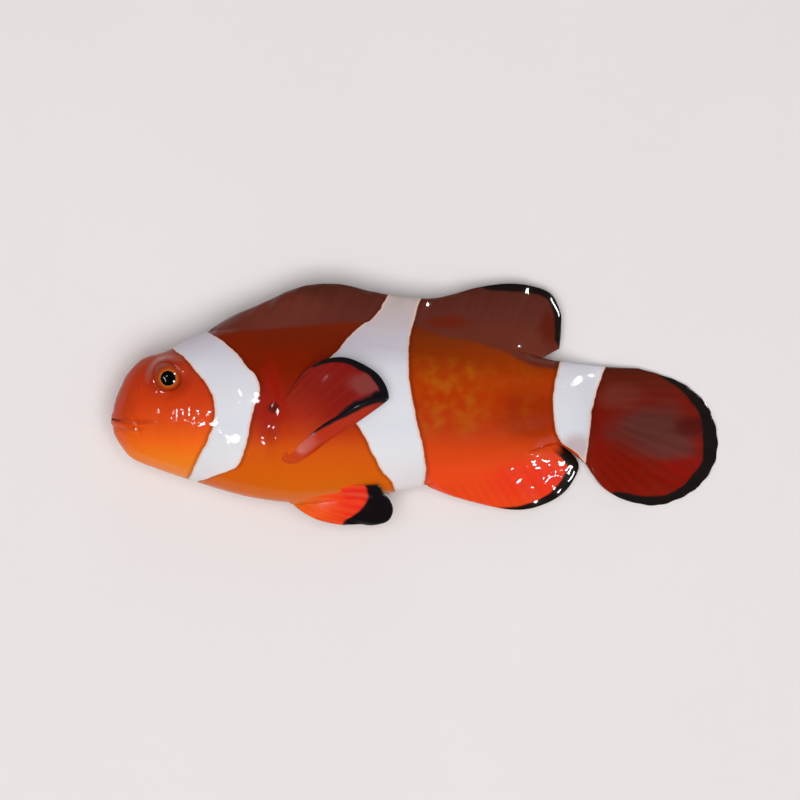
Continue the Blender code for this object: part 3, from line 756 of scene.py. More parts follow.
# Markings, in plan millimetres. A band's edges are (y, x) from the belly up.
BANDS = (
    (((-10.1, -30.2), (-9.6, -29.7), (-9, -29.35), (-8, -28.85), (-7, -28.3), (-6, -27.8),
      (-5, -27.2), (-4, -26.8), (-3, -26.4), (-2, -26.22), (-0.5, -26.15), (0.8, -26.3),
      (1.6, -26.7), (2.4, -27.2), (3.3, -27.8), (4, -28.4), (4.6, -29), (5.6, -29.8),
      (6.3, -30.5), (7.3, -31.9), (9.4, -34)),
     ((-10.2, -28.6), (-9.8, -27.3), (-9.3, -26), (-8.9, -25), (-8.55, -23.9), (-8, -23.25),
      (-7, -22.7), (-6, -22.3), (-5, -22.0), (-4, -21.8), (-3, -21.6), (-1.2, -21.2),
      (-0.5, -21.05), (0.2, -20.8), (1, -20.5), (1.7, -20.3), (2.4, -20.35), (3.2, -20.6),
      (3.9, -21), (4.5, -21.6), (5, -22.1), (5.9, -22.8), (6.7, -23.5), (7.6, -24.5),
      (8.4, -25.5), (9.0, -26.5), (9.5, -27.9))),
    (((-11.6, -2.75), (-10.6, -3.0), (-10, -3.25), (-9.2, -4.15), (-8.4, -4.6), (-7.3, -5.2),
      (-6, -5.9), (-4.6, -6.5), (-3.5, -7.2), (-2.5, -7.9), (-1, -9.6), (0.6, -11.4),
      (2.4, -12.2), (4.4, -12.2), (5.6, -11.6), (6.3, -11), (6.9, -10.3), (7.8, -9.6),
      (8.8, -8.8), (9.8, -7.8), (10.4, -7), (10.8, -6.3), (11.4, -5.5), (12.2, -4.9),
      (13.2, -4.3), (14.3, -3.75)),
     ((-11.4, 0.8), (-10.2, 1.1), (-9, 1.3), (-8, 1.25), (-6.5, 1.1), (-5, 0.8), (-3.5, 0.4),
      (-2, 0.0), (0, -0.35), (1.2, -0.6), (2.5, -0.8), (4, -0.9), (8, -0.9), (10, -0.5),
      (12, 0.0), (13, 0.3), (14.2, 0.85))),
    (((-8.4, 22.6), (-8, 22.4), (-5.8, 20.3), (-5.3, 19.35), (-4.9, 19), (-4, 18.6), (-3, 18.25),
      (-2, 18.15), (0.5, 18.0), (2, 18.1), (3, 18.3), (4, 18.6), (5, 18.8), (6.2, 19.25)),
     ((-8.2, 22.35), (-7, 22.5), (-5, 22.8), (-3, 23.0), (-1, 23.2), (0, 23.4), (1, 23.6),
      (2, 24), (3, 24.3), (4, 24.7), (4.9, 25.1))),
)
BAND_TONES = ((-10, "EAE3E5"), (-6.5, "E6E5E9"), (-3, "DDDFE6"), (0, "E0E0E6"), (5, "DDDBE3"),
              (8.5, "CDC6D0"), (11, "C6B9BB"), (14, "BFAFAC"))
# Ground tones from the belly up: partly the fish's own colour, partly painted light (lighter and
# yellower on the belly side) and painted shade (darker towards the back)
HEAD_TONES = ((-9.5, "F8892C"), (-7, "F87F1E"), (-5, "F6691A"), (-2.5, "E24E14"), (0, "D34012"),
              (3, "C03714"), (5.5, "AC3B20"), (7.5, "9A4028"))
FRONT_TONES = ((-13.5, "DE6E0E"), (-9, "DA600E"), (-6, "D4550E"), (-4, "BE3A07"), (-1.5, "A32307"),
               (1.5, "8C1C03"), (4.5, "801D01"), (6.5, "821F02"), (8, "7C2003"), (10, "76230A"))
REAR_TONES = ((-11.5, "F0481A"), (-8.5, "EC4B1A"), (-6, "D94614"), (-3.5, "BA380A"),
              (-0.5, "B23401"), (3, "AE3901"), (6, "963503"), (8.5, "7E3009"), (11, "6E2007"))
TAIL_TONES = ((-12, "841402"), (-8, "801301"), (-3, "781002"), (0, "741405"), (3, "601C0B"),
              (4.5, "541C0E"))
# Where the back fin's grey-brown web begins; the grey-brown is partly the web's own colour and
# partly painted sheen
WEB_SHEEN_EDGE = ((-29, 8.6), (-26, 9.2), (-22, 9.5), (-18, 9.8), (-14, 10.2), (-10, 10.5),
             (-6, 10.4), (-2, 10.2), (0, 10.0), (4, 8.6), (8, 8.0), (10, 7.3), (12, 6.5),
             (14, 5.5), (16, 4.8), (20, 4.4))
TOP_MARGIN = ((-16, 0.0), (7.5, 0.0), (9.5, 0.6), (12, 1.0), (17, 1.0), (19, 0.85), (21, 0.0),
              (30.5, 0.0), (33, 0.45), (35, 0.9), (37, 1.4), (39, 1.8), (40, 2.0))
LOW_MARGIN = ((-16, 0.0), (9.5, 0.0), (11.5, 0.25), (14, 0.6), (17, 1.0), (19.5, 1.4),
              (21.8, 1.5), (22.6, 0.0), (25.2, 0.0), (26.5, 0.6), (29, 1.1), (34, 1.3), (37, 1.7),
              (40, 2.0))
# Soft patches of colour: centre, and half width and height in plan, then the tone and its share
BODY_TONE_SHADE_SHEEN_PATCHES = (
    # The first patch, a dark line along the mouth, is painted shade in its slit
    ((-39.2, -2.05), (2.0, 0.24), "5E1808", 0.6), ((-38.6, 0.2), (2.6, 3.6), "BC3C1A", 0.6),
    ((-32.4, 3.6), (3.6, 3.3), "AC2C10", 0.45), ((-32.4, 3.5), (2.5, 2.5), "74180A", 0.75),
    ((-36.0, -2.3), (2.8, 0.5), "A82A10", 0.4), ((-37.2, -3.3), (2.4, 0.35), "B4380F", 0.35),
    # The small dark spot at (-18.5, -0.5) is painted shadow in the pit over the side fin's root
    ((-18.9, 0.0), (2.0, 6.5), "9C1808", 0.7), ((-18.5, -0.5), (0.9, 0.8), "4A0E06", 0.8),
    ((15.0, -10.2), (7.0, 3.2), "F0381A", 0.85), ((18.3, -9.0), (3.6, 2.6), "F03822", 0.7),
    # The grey-brown patches on the tail fin, 5B312B, 603732 and 73342A, are painted sheen on the
    # wet fin
    ((35.2, -8.6), (3.4, 2.6), "8A0C02", 0.8), ((31.5, -3.4), (7.4, 4.0), "5B312B", 0.85),
    ((34.0, -6.2), (4.5, 1.6), "603732", 0.6), ((27.2, 0.9), (3.6, 2.2), "73342A", 0.6),
    ((36.6, -3.0), (3.4, 1.5), "4E0B07", 0.8), ((14.6, -1.0), (5.0, 4.4), "8C2402", 0.6))
WEB_TONE_AND_SHEEN_PATCHES = (
    # The first web patch, grey-brown over the front of the back fin, is painted sheen; the other
    # two are the web's own dark red
    ((-18.0, 12.0), (9.0, 3.0), "72362A", 0.7), ((4.2, 10.7), (3.6, 1.1), "701F05", 0.75),
    ((17.9, 10.3), (2.2, 2.9), "5C190A", 0.85))
# A pinkish grey on the third band's lower end, painted reflection
BAND_REFLECTION_PATCHES = (((21.4, -6.0), (3.0, 2.6), "BCA7AC", 0.8),)
# A grey patch on the side fin's blade, painted sheen
BLADE_SHEEN_PATCHES = (((-6.4, 2.6), (2.8, 1.7), "84403B", 0.7),)
# The back fin's grey-brown web up the fin, partly its own colour and partly painted sheen
WEB_SHEEN_TONES = ((4, "6A2C20"), (9, "6A3023"), (12, "602D25"), (14, "5A2A20"), (15.6, "4C271D"))
# How thickly the flecks lie along the fish, and up it
FLECKS_ALONG = ((-40, 0), (-1, 0), (1.5, 1), (5, 1), (9, 0.35), (16, 0.2), (20, 0), (40, 0))
FLECKS_UP = ((-16, 0), (-5.5, 0), (-3, 0.9), (4, 1), (7, 0), (16, 0))
# The side fin's tones from its root (0) to its rim (1)
BLADE_TONES = ((0.0, "A8330D"), (0.22, "8A1E07"), (0.5, "840F04"), (1.0, "801812"))
FLAP_TONES = ((0.0, "CC4A10"), (0.35, "B82C06"), (0.8, "A62A14"), (1.0, "7A2A28"))
BLADE_BLACK = ((0, 0), (0.42, 0), (0.6, 0.7), (1, 1))
FLAP_BLACK = ((0, 0), (0.12, 0), (0.5, 0.45), (1, 0.9))
BELLY_FIN_TONES = ((-17, "E8641C"), (-12.6, "F0501E"), (-9, "EE2F1C"), (-6.6, "E62A1E"))
BELLY_FIN_BLACK = ((-16, -9.6), (-15.2, -9.2), (-14.8, -8.5), (-14, -7.5), (-13.3, -6.8),
                   (-12.3, -6.3), (-11.3, -6.4), (-10.3, -6.8), (-9.5, -7.0))
# The eye's tones by their distance from its axis in millimetres
EYE_TONES = ((0.0, "050506"), (0.9, "060505"), (0.95, "2C140A"), (1.0, "A4602C"), (1.09, "C26C2C"),
             (1.2, "B2481A"), (1.45, "AA3E12"), (1.65, "9A3010"), (1.85, "8A280E"),
             (2.15, "6A1E0C"))
X_SPAN = (-40.0, 80.0)   # start and length of the markings' x range, and below their y range
Y_SPAN = (-16.0, 32.0)
MARGIN_SPAN = 4.0        # widest black margin that a curve can hold
# The back fin's web colour, partly painted sheen, gives way here together with its black
BACK_FIN_END = (19.6, 20.4)      # the back fin's web and black give way between these x
BACK_FIN_CORNER = (7.104, 8.704)         # and the black of its rear edge between these y
WAVER = 0.42             # how far the markings' edges wander
BLEND = 0.48             # a soft change of colour spreads this far each way


def linear(hex_colour):
    """An sRGB hex colour as linear RGBA."""
    channels = [int(hex_colour[i:i + 2], 16) / 255 for i in (0, 2, 4)]
    return [c / 12.92 if c <= 0.04045 else ((c + 0.055) / 1.055) ** 2.4 for c in channels] + [1.0]


def tint(name):
    """One of the scene's clownfish colours."""
    return getattr(bpy.context.scene.clownfish_colours, name)[:]


def add(tree, kind, feeds=None, keys=(), **settings):
    """Add a node and return it.

    feeds maps an input to a value, or to the node or socket that feeds it. keys are the stops of
    a colour ramp or the points of a curve, from 0 to 1.
    """
    made = tree.nodes.new(kind)
    for name, value in settings.items():
        setattr(made, name, value)
    for name, value in (feeds or {}).items():
        if isinstance(value, bpy.types.Node):
            value = next(output for output in value.outputs if output.enabled)
        if isinstance(value, bpy.types.NodeSocket):
            tree.links.new(value, made.inputs[name])
        else:
            made.inputs[name].default_value = value
    if keys and kind == "ShaderNodeValToRGB":
        stops = made.color_ramp.elements
        while len(stops) < len(keys):
            stops.new(1.0)
        for stop, (place, colour) in zip(stops, keys):
            stop.position = place
            stop.color = colour
    elif keys:
        line = made.mapping.curves[0].points
        while len(line) < len(keys):
            line.new(1.0, 1.0)
        for point, place in zip(line, keys):
            point.location = place
        made.mapping.update()
    return made


def share_of(span, place):
    """A place in plan millimetres as a share of a span."""
    return (place - span[0]) / span[1]


def shares(points, across, up):
    """Points brought to the range 0 to 1 of two spans."""
    return [(share_of(across, a), share_of(up, b)) for a, b in points]


def tones(stops, span=Y_SPAN):
    """Hex stops on a span as colour ramp keys."""
    return [(share_of(span, place), linear(colour)) for place, colour in stops]


MATH = "ShaderNodeMath"
VECTOR = "ShaderNodeVectorMath"
RANGE = "ShaderNodeMapRange"
MIX = "ShaderNodeMix"
NOISE = "ShaderNodeTexNoise"
CURVE = "ShaderNodeFloatCurve"
RAMP = "ShaderNodeValToRGB"
FACT = "ShaderNodeAttribute"
EVEN = {"interpolation_type": "SMOOTHSTEP"}
LAID_OVER = {"data_type": "RGBA", "blend_type": "MIX"}
NUMBERS = {"data_type": "FLOAT"}
PLUS = {"operation": "ADD"}
MINUS = {"operation": "SUBTRACT"}
TIMES = {"operation": "MULTIPLY"}
TIMES_PLUS = {"operation": "MULTIPLY_ADD"}


def new_finish(name):
    """An empty material, and its nodes."""
    material = bpy.data.materials.new(name)
    material.use_nodes = True
    return material, material.node_tree


def marking_place(tree):
    """Object coordinates with an organic waver, and their x and y as shares of the two spans."""
    place = add(tree, "ShaderNodeTexCoord").outputs["Object"]
    waver = add(tree, NOISE, {"Vector": place, "Scale": 1 / (1.5 * MM), "Detail": 3.0})
    shift = add(tree, VECTOR, {0: waver.outputs["Color"], 1: (0.5, 0.5, 0.5)}, **MINUS)
    moved = add(tree, VECTOR, {0: shift, "Scale": WAVER * MM}, operation="SCALE")
    wavered = add(tree, VECTOR, {0: place, 1: moved}, **PLUS)
    apart = add(tree, "ShaderNodeSeparateXYZ", {0: wavered})
    across, up = (add(tree, MATH, {0: side, 1: 1 / (span[1] * MM), 2: 0.5}, **TIMES_PLUS)
                  for side, span in zip(apart.outputs, (X_SPAN, Y_SPAN)))
    return place, across, up


def band_measure(tree, across, up):
    """How deep inside a white band a spot lies, in millimetres; below 0 outside all three."""
    deepest = None
    for front, rear in BANDS:
        starts = add(tree, CURVE, {"Value": up}, shares(front, Y_SPAN, X_SPAN))
        ends = add(tree, CURVE, {"Value": up}, shares(rear, Y_SPAN, X_SPAN))
        behind = add(tree, MATH, {0: across, 1: starts}, **MINUS)
        before = add(tree, MATH, {0: ends, 1: across}, **MINUS)
        inside = add(tree, MATH, {0: behind, 1: before}, operation="MINIMUM")
        if deepest:
            inside = add(tree, MATH, {0: deepest, 1: inside}, operation="MAXIMUM")
        deepest = inside
    return add(tree, MATH, {0: deepest, 1: X_SPAN[1]}, **TIMES)


def patch_share(tree, across, up, spot, reach, mottle, strength):
    """How much of a soft patch is laid at a place; spot and reach are in plan millimetres."""
    sides = []
    for fact, span, middle, half in zip((across, up), (X_SPAN, Y_SPAN), spot, reach):
        off = add(tree, MATH, {0: fact, 1: share_of(span, middle)}, **MINUS)
        sides.append(add(tree, MATH, {0: off, 1: span[1] / half}, **TIMES))
    apart = add(tree, "ShaderNodeCombineXYZ", {0: sides[0], 1: sides[1]})
    away = add(tree, VECTOR, {0: apart}, operation="LENGTH").outputs["Value"]
    uneven = add(tree, MATH, {0: mottle, 1: 0.7, 2: -0.35}, **TIMES_PLUS)
    away = add(tree, MATH, {0: away, 1: uneven}, **PLUS)
    return add(tree, RANGE, {0: away, 1: 1.15, 2: 0.35, 3: 0.0, 4: strength}, **EVEN)


def patched(tree, colour, across, up, patches, mottle):
    """Lay soft patches over a colour."""
    for spot, reach, tone, strength in patches:
        share = patch_share(tree, across, up, spot, reach, mottle, strength)
        colour = add(tree, MIX, {0: share, 6: colour, 7: linear(tone)}, **LAID_OVER)
    return colour


def black_margin(tree, width, edge, mottle, waver, soft, least):
    """How black a fin is at a distance from its edge, where its margin has a width.

    waver scales and shifts the mottle that the width varies with, soft is how far the black
    fades past its width and short of it, and least is the width at which it starts and is full.
    """
    uneven = add(tree, MATH, {0: mottle, 1: waver[0], 2: waver[1]}, **TIMES_PLUS)
    width = add(tree, MATH, {0: width, 1: uneven}, **TIMES)
    depth = add(tree, MATH, {0: width, 1: edge}, **MINUS)
    black = add(tree, RANGE, {0: depth, 1: soft[0], 2: soft[1]}, **EVEN)
    any_width = add(tree, RANGE, {0: width, 1: least[0], 2: least[1]}, **EVEN)
    return add(tree, MATH, {0: black, 1: any_width}, **TIMES)


def ground_colour(tree, place, across, up):
    """The orange, red and brown between the bands, lighter and yellower towards the belly: partly
    own colour, partly painted light below and painted shade on the back.
    """
    colour, *behind = (add(tree, RAMP, {0: up}, tones(stops))
                       for stops in (HEAD_TONES, FRONT_TONES, REAR_TONES, TAIL_TONES))
    for next_tones, band in zip(behind, BANDS):
        level = np.linspace(band[0][0][0], band[0][-1][0], 9)
        front, rear = (np.interp(level, *zip(*line)) for line in band)
        middle = list(zip(level, (front + rear) / 2))
        line = add(tree, CURVE, {"Value": up}, shares(middle, Y_SPAN, X_SPAN))
        past = add(tree, MATH, {0: across, 1: line}, **MINUS)
        share = add(tree, RANGE, {0: past, 1: -BLEND / X_SPAN[1], 2: BLEND / X_SPAN[1]}, **EVEN)
        colour = add(tree, MIX, {0: share, 6: colour, 7: next_tones}, **LAID_OVER)
    mottle = add(tree, NOISE, {"Vector": place, "Scale": 1 / (3.2 * MM), "Detail": 4.0})
    # Among the patches are painted shade in the mouth's slit and in the pit over the side fin's
    # root, and painted sheen on the tail fin
    colour = patched(tree, colour, across, up, BODY_TONE_SHADE_SHEEN_PATCHES, mottle)

    # Yellow flecks in the scale pockets of the rear flank
    flecks = add(tree, NOISE, {"Vector": place, "Scale": 1 / (1.7 * MM), "Detail": 1.5})
    fleck = add(tree, RANGE, {0: flecks, 1: 0.35, 2: 0.8}, **EVEN)
    zone_x = add(tree, CURVE, {"Value": across}, shares(FLECKS_ALONG, X_SPAN, (0, 1)))
    zone_y = add(tree, CURVE, {"Value": up}, shares(FLECKS_UP, Y_SPAN, (0, 1)))
    zone = add(tree, MATH, {0: zone_x, 1: zone_y}, **TIMES)
    share = add(tree, MATH, {0: fleck, 1: zone}, **TIMES)
    share = add(tree, MATH, {0: share, 1: 0.55}, **TIMES)
    return add(tree, MIX, {0: share, 6: colour, 7: tint("flecks")}, **LAID_OVER), mottle


def fin_colour(tree, colour, across, up, mottle):
    """The back fin's web in a grey-brown that is partly its own and partly painted sheen, its rays,
    and the black margins of the fins.
    """
    line = add(tree, CURVE, {"Value": across}, shares(WEB_SHEEN_EDGE, X_SPAN, Y_SPAN))
    above = add(tree, MATH, {0: up, 1: line}, **MINUS)
    ends = [share_of(X_SPAN, x) for x in BACK_FIN_END]
    tail_off = add(tree, RANGE, {0: across, 1: ends[0], 2: ends[1], 3: 1.0, 4: 0.0})
    # Above that line the web's grey-brown is laid, partly its own colour and partly painted sheen
    # of the wet web
    web_sheen = add(tree, RANGE, {0: above, 1: -0.006, 2: 0.014}, **EVEN)
    web_sheen = add(tree, MATH, {0: web_sheen, 1: tail_off}, **TIMES)
    web = add(tree, RAMP, {0: up}, tones(WEB_SHEEN_TONES))
    web = patched(tree, web, across, up, WEB_TONE_AND_SHEEN_PATCHES, mottle)
    thin = add(tree, MATH, {0: web_sheen, 1: 0.92}, **TIMES)
    colour = add(tree, MIX, {0: thin, 6: colour, 7: web}, **LAID_OVER)

    ripple, fin, edge = (add(tree, FACT, attribute_name=name).outputs["Fac"]
                         for name in ("ripple", "fin", "edge"))
    on_fin = add(tree, RANGE, {0: fin, 1: 0.05, 2: 0.5}, **EVEN)
    rays = add(tree, MATH, {0: ripple, 1: on_fin}, **TIMES)
    rays = add(tree, MATH, {0: rays, 1: 0.16}, **TIMES)
    colour = add(tree, MIX, {0: rays, 6: colour, 7: linear("2E120C")}, **LAID_OVER)

    top, low = (add(tree, CURVE, {"Value": across}, shares(line, X_SPAN, (0, MARGIN_SPAN)))
                for line in (TOP_MARGIN, LOW_MARGIN))
    # The back fin has no black on its rear corner's underside, the tail fin has it all round
    corner = [share_of(Y_SPAN, y) for y in BACK_FIN_CORNER]
    not_under = add(tree, RANGE, {0: up, 1: corner[0], 2: corner[1]}, **EVEN)
    kept = add(tree, MIX, {0: tail_off, 2: 1.0, 3: not_under}, **NUMBERS)
    top = add(tree, MATH, {0: top, 1: kept}, **TIMES)
    upper = add(tree, RANGE, {0: up, 1: 0.42, 2: 0.5}, **EVEN)
    width = add(tree, MIX, {0: upper, 2: low, 3: top}, **NUMBERS)
    width = add(tree, MATH, {0: width, 1: MARGIN_SPAN}, **TIMES)
    black = black_margin(tree, width, edge, mottle, (0.8, 0.6), (-0.12, 0.22), (0.05, 0.3))
    black = add(tree, MATH, {0: black, 1: on_fin}, **TIMES)
    return add(tree, MIX, {0: black, 6: colour, 7: tint("fin_margin")}, **LAID_OVER)


def banded(tree, colour, across, up):
    """Lay the white bands over the ground, each with a thin peach rim and a dusky border."""
    depth = band_measure(tree, across, up)
    dusk = add(tree, RANGE, {0: depth, 1: -0.75, 2: -0.02, 3: 0.0, 4: 0.42}, **EVEN)
    colour = add(tree, MIX, {0: dusk, 6: colour, 7: tint("band_shade")}, **LAID_OVER)
    white = add(tree, RAMP, {0: up}, tones(BAND_TONES))
    # A pinkish grey on the third band's lower end is painted reflection
    white = patched(tree, white, across, up, BAND_REFLECTION_PATCHES, 0.5)
    rim = add(tree, RANGE, {0: depth, 1: 0.45, 2: 0.08, 3: 0.0, 4: 0.75}, **EVEN)
    white = add(tree, MIX, {0: rim, 6: white, 7: tint("band_rim")}, **LAID_OVER)
    inside = add(tree, RANGE, {0: depth, 1: -0.07, 2: 0.09}, **EVEN)
    return add(tree, MIX, {0: inside, 6: colour, 7: white}, **LAID_OVER)


# Where the film of slime stands in ripples: centre and reach in plan millimetres, and its depth
WET_PLACES = (((-31.8, -1.9), (4.6, 2.6), 0.9), ((-24.6, -3.2), (1.8, 1.2), 0.8),
              ((-18.3, -4.9), (2.0, 1.4), 0.9), ((-11.5, -12.0), (4.5, 1.1), 1.0),
              ((16.5, -9.4), (5.4, 3.2), 2.0), ((11.0, 14.6), (5.0, 1.5), 2.0),
              ((25.2, -7.6), (3.4, 2.8), 2.2),
              ((-21.8, 2.0), (2.4, 1.8), 0.9))
WIPED_PLACE = ((-14.0, -5.2), (3.0, 2.2))
WET_SKIN = {"Roughness": 0.4, "IOR": 1.4, "Specular IOR Level": 0.04, "Coat Weight": 1.0,
            "Coat Roughness": 0.06, "Coat IOR": 1.26}
WET_EYE = {"Roughness": 0.3, "Coat Roughness": 0.02, "Coat IOR": 1.36}


def skin_grain(tree, place):
    """The skin's fine grain and its slow unevenness."""
    grain = add(tree, NOISE, {"Vector": place, "Scale": 1 / (0.32 * MM), "Detail": 2.0})
    slow = add(tree, NOISE, {"Vector": place, "Scale": 1 / (1.5 * MM), "Detail": 2.5})
    low = add(tree, "ShaderNodeBump", {"Height": grain, "Distance": 0.006 * MM})
    return add(tree, "ShaderNodeBump", {"Height": slow, "Normal": low, "Distance": 0.05 * MM})


def slime_ripples(tree, place, across, up):
    """The surface of the film of slime, still over most of the fish."""
    mottle = add(tree, NOISE, {"Vector": place, "Scale": 1 / (3.2 * MM)})
    wet = None
    for spot, reach, deep in WET_PLACES:
        share = patch_share(tree, across, up, spot, reach, mottle, deep)
        wet = add(tree, MATH, {0: wet, 1: share}, operation="MAXIMUM") if wet else share
    swell = add(tree, NOISE, {"Vector": place, "Scale": 1 / (1.3 * MM), "Detail": 0.0})
    beads = add(tree, MATH, {0: swell, 1: -0.5}, **PLUS)
    depth = add(tree, MATH, {0: wet, 1: 1.0, 2: 0.1}, **TIMES_PLUS)
    height = add(tree, MATH, {0: beads, 1: depth}, **TIMES)
    return add(tree, "ShaderNodeBump", {"Height": height, "Distance": 0.2 * MM})


def wet_shader(tree, colour, normal, film, settings=()):
    """Skin under a clear wet film: a soft base and a sharp coat."""
    shader = tree.nodes["Principled BSDF"]
    for name, value in {**WET_SKIN, **dict(settings)}.items():
        shader.inputs[name].default_value = value
    for name, node in (("Base Color", colour), ("Normal", normal), ("Coat Normal", film)):
        if node:
            output = next(output for output in node.outputs if output.enabled)
            tree.links.new(output, shader.inputs[name])
    return shader


def banded_skin():
    """Living fish skin: pigment under a clear film of slime, which gives it its wet shine."""
    material, tree = new_finish("slimed_banded_skin")
    place, across, up = marking_place(tree)
    colour, mottle = ground_colour(tree, place, across, up)
    colour = fin_colour(tree, colour, across, up, mottle)
    colour = banded(tree, colour, across, up)
    wet_shader(tree, colour, skin_grain(tree, place), slime_ripples(tree, place, across, up))
    return material


def side_fin_skin():
    """The side fin's web: dark red between rays paled by painted sheen, a painted grey sheen on its
    blade, and a black margin.
    """
    material, tree = new_finish("slimed_side_fin_web")
    place, across, up = marking_place(tree)
    out, edge, ripple, along_rim = (add(tree, FACT, attribute_name=name).outputs["Fac"]
                                    for name in ("fin", "edge", "ripple", "across"))
    mottle = add(tree, NOISE, {"Vector": place, "Scale": 1 / (2.2 * MM), "Detail": 4.0})
    blade, flap = (add(tree, RAMP, {0: out}, tones(stops, (0, 1)))
                   for stops in (BLADE_TONES, FLAP_TONES))
    flank = add(tree, RAMP, {0: up}, tones(FRONT_TONES))
    beyond = add(tree, RANGE, {0: out, 1: 0.22, 2: 0.7}, **EVEN)
    blade = add(tree, MIX, {0: beyond, 6: flank, 7: blade}, **LAID_OVER)
    folded = add(tree, RANGE, {0: along_rim, 1: 0.56, 2: 0.64}, **EVEN)
    colour = add(tree, MIX, {0: folded, 6: blade, 7: flap}, **LAID_OVER)
    # A grey patch on the blade is painted sheen
    colour = patched(tree, colour, across, up, BLADE_SHEEN_PATCHES, mottle)
    # Pale grey-pink streaks along the rays, painted sheen
    pale = add(tree, MATH, {0: ripple, 1: 6.0}, operation="POWER")
    pale = add(tree, MATH, {0: pale, 1: mottle}, **TIMES)
    pale = add(tree, MATH, {0: pale, 1: 0.13}, **TIMES)
    colour = add(tree, MIX, {0: pale, 6: colour, 7: linear("A4564E")}, **LAID_OVER)

    on_blade, on_flap = (add(tree, CURVE, {"Value": out}, line)
                         for line in (BLADE_BLACK, FLAP_BLACK))
    in_front = add(tree, RANGE, {0: along_rim, 1: 0.07, 2: 0.16}, **EVEN)
    on_blade = add(tree, MATH, {0: on_blade, 1: in_front}, **TIMES)
    width = add(tree, MIX, {0: folded, 2: on_blade, 3: on_flap}, **NUMBERS)
    black = black_margin(tree, width, edge, mottle, (0.6, 0.75), (-0.15, 0.2), (0.03, 0.25))
    colour = add(tree, MIX, {0: black, 6: colour, 7: tint("side_fin_margin")}, **LAID_OVER)
    film = slime_ripples(tree, place, across, up)
    shader = wet_shader(tree, colour, skin_grain(tree, place), film)
    # The film is wiped thin on the flap's lower end
    wiped = patch_share(tree, across, up, *WIPED_PLACE, 0.5, 0.9)
    left = add(tree, MATH, {0: 1.0, 1: wiped}, **MINUS)
    tree.links.new(left.outputs[0], shader.inputs["Coat Weight"])
    return material


def belly_fin_skin():
    """The belly fin's web: orange at its root, bright red beyond, its end black."""
    material, tree = new_finish("slimed_belly_fin_web")
    place, across, up = marking_place(tree)
    ripple, out = (add(tree, FACT, attribute_name=name).outputs["Fac"]
                   for name in ("ripple", "fin"))
    colour = add(tree, RAMP, {0: across}, tones(BELLY_FIN_TONES, X_SPAN))
    flank = add(tree, RAMP, {0: up}, tones(FRONT_TONES))
    beyond = add(tree, RANGE, {0: out, 1: 0.02, 2: 0.4}, **EVEN)
    colour = add(tree, MIX, {0: beyond, 6: flank, 7: colour}, **LAID_OVER)
    rays = add(tree, MATH, {0: ripple, 1: 0.16}, **TIMES)
    colour = add(tree, MIX, {0: rays, 6: colour, 7: linear("F8822C")}, **LAID_OVER)
    line = add(tree, CURVE, {"Value": up}, shares(BELLY_FIN_BLACK, Y_SPAN, X_SPAN))
    beyond = add(tree, MATH, {0: across, 1: line}, **MINUS)
    black = add(tree, RANGE, {0: beyond, 1: -0.003, 2: 0.003}, **EVEN)
    colour = add(tree, MIX, {0: black, 6: colour, 7: tint("belly_fin_tip")}, **LAID_OVER)
    wet_shader(tree, colour, skin_grain(tree, place), slime_ripples(tree, place, across, up))
    return material


def eye_finish():
    """A fish's eye: a black pupil in a gold ring, and a copper iris under a wet clear skin."""
    material, tree = new_finish("clear_eye")
    place = add(tree, "ShaderNodeTexCoord").outputs["Object"]
    away = add(tree, FACT, attribute_name="from_axis").outputs["Fac"]
    fleck = add(tree, NOISE, {"Vector": place, "Scale": 1 / (0.35 * MM), "Detail": 4.0})
    uneven = add(tree, MATH, {0: fleck, 1: 0.16, 2: -0.08}, **TIMES_PLUS)
    share = add(tree, MATH, {0: away, 1: uneven}, **PLUS)
    share = add(tree, MATH, {0: share, 1: EYE_RADIUS}, operation="DIVIDE")
    colour = add(tree, RAMP, {0: share}, tones(EYE_TONES, (0, EYE_RADIUS)))
    grain = add(tree, "ShaderNodeBump", {"Height": fleck, "Distance": 0.002 * MM})
    wet_shader(tree, colour, grain, None, WET_EYE)
    return material


PATCH = 0.003            # width of a scale's patch on the bake map
MAP_RIM = 0.01           # left free round the bake map
SCALE_DEPTH = 0.05       # how far a scale's underside bellies out below its plate
LEAST_STAND = 0.36       # a scale that would stand less than this share is left out
SCALE_SEED = 7


def scale_template(side):
    """One scale as a thin closed lens: a rounded plate, its two faces meeting in a sharp rim.

    On the right side it is laid mirrored, so there its faces are turned over beforehand.
    """
    bm = bmesh.new()
    bmesh.ops.create_grid(bm, x_segments=4, y_segments=4, size=1.0)
    bmesh.ops.dissolve_verts(bm, verts=[vert for vert in bm.verts if len(vert.link_faces) == 1])
    bmesh.ops.duplicate(bm, geom=bm.verts[:] + bm.edges[:] + bm.faces[:])
    half = len(bm.verts) // 2
    bm.verts.ensure_lookup_table()
    for vert in bm.verts[half:]:
        inner = max(abs(vert.co.x), abs(vert.co.y)) < 0.9
        vert.co.z = -1.0 if inner else 0.0
    bmesh.ops.remove_doubles(bm, verts=bm.verts, dist=1e-4)
    bmesh.ops.recalc_face_normals(bm, faces=bm.faces)
    if side < 0:
        bmesh.ops.reverse_faces(bm, faces=bm.faces)
    for face in bm.faces:
        face.smooth = True
    for edge in bm.edges:
        edge.smooth = not all(max(abs(v.co.x), abs(v.co.y)) > 0.9 for v in edge.verts)
    mesh = bpy.data.meshes.new("scale_template")
    bm.to_mesh(mesh)
    bm.free()
    return mesh


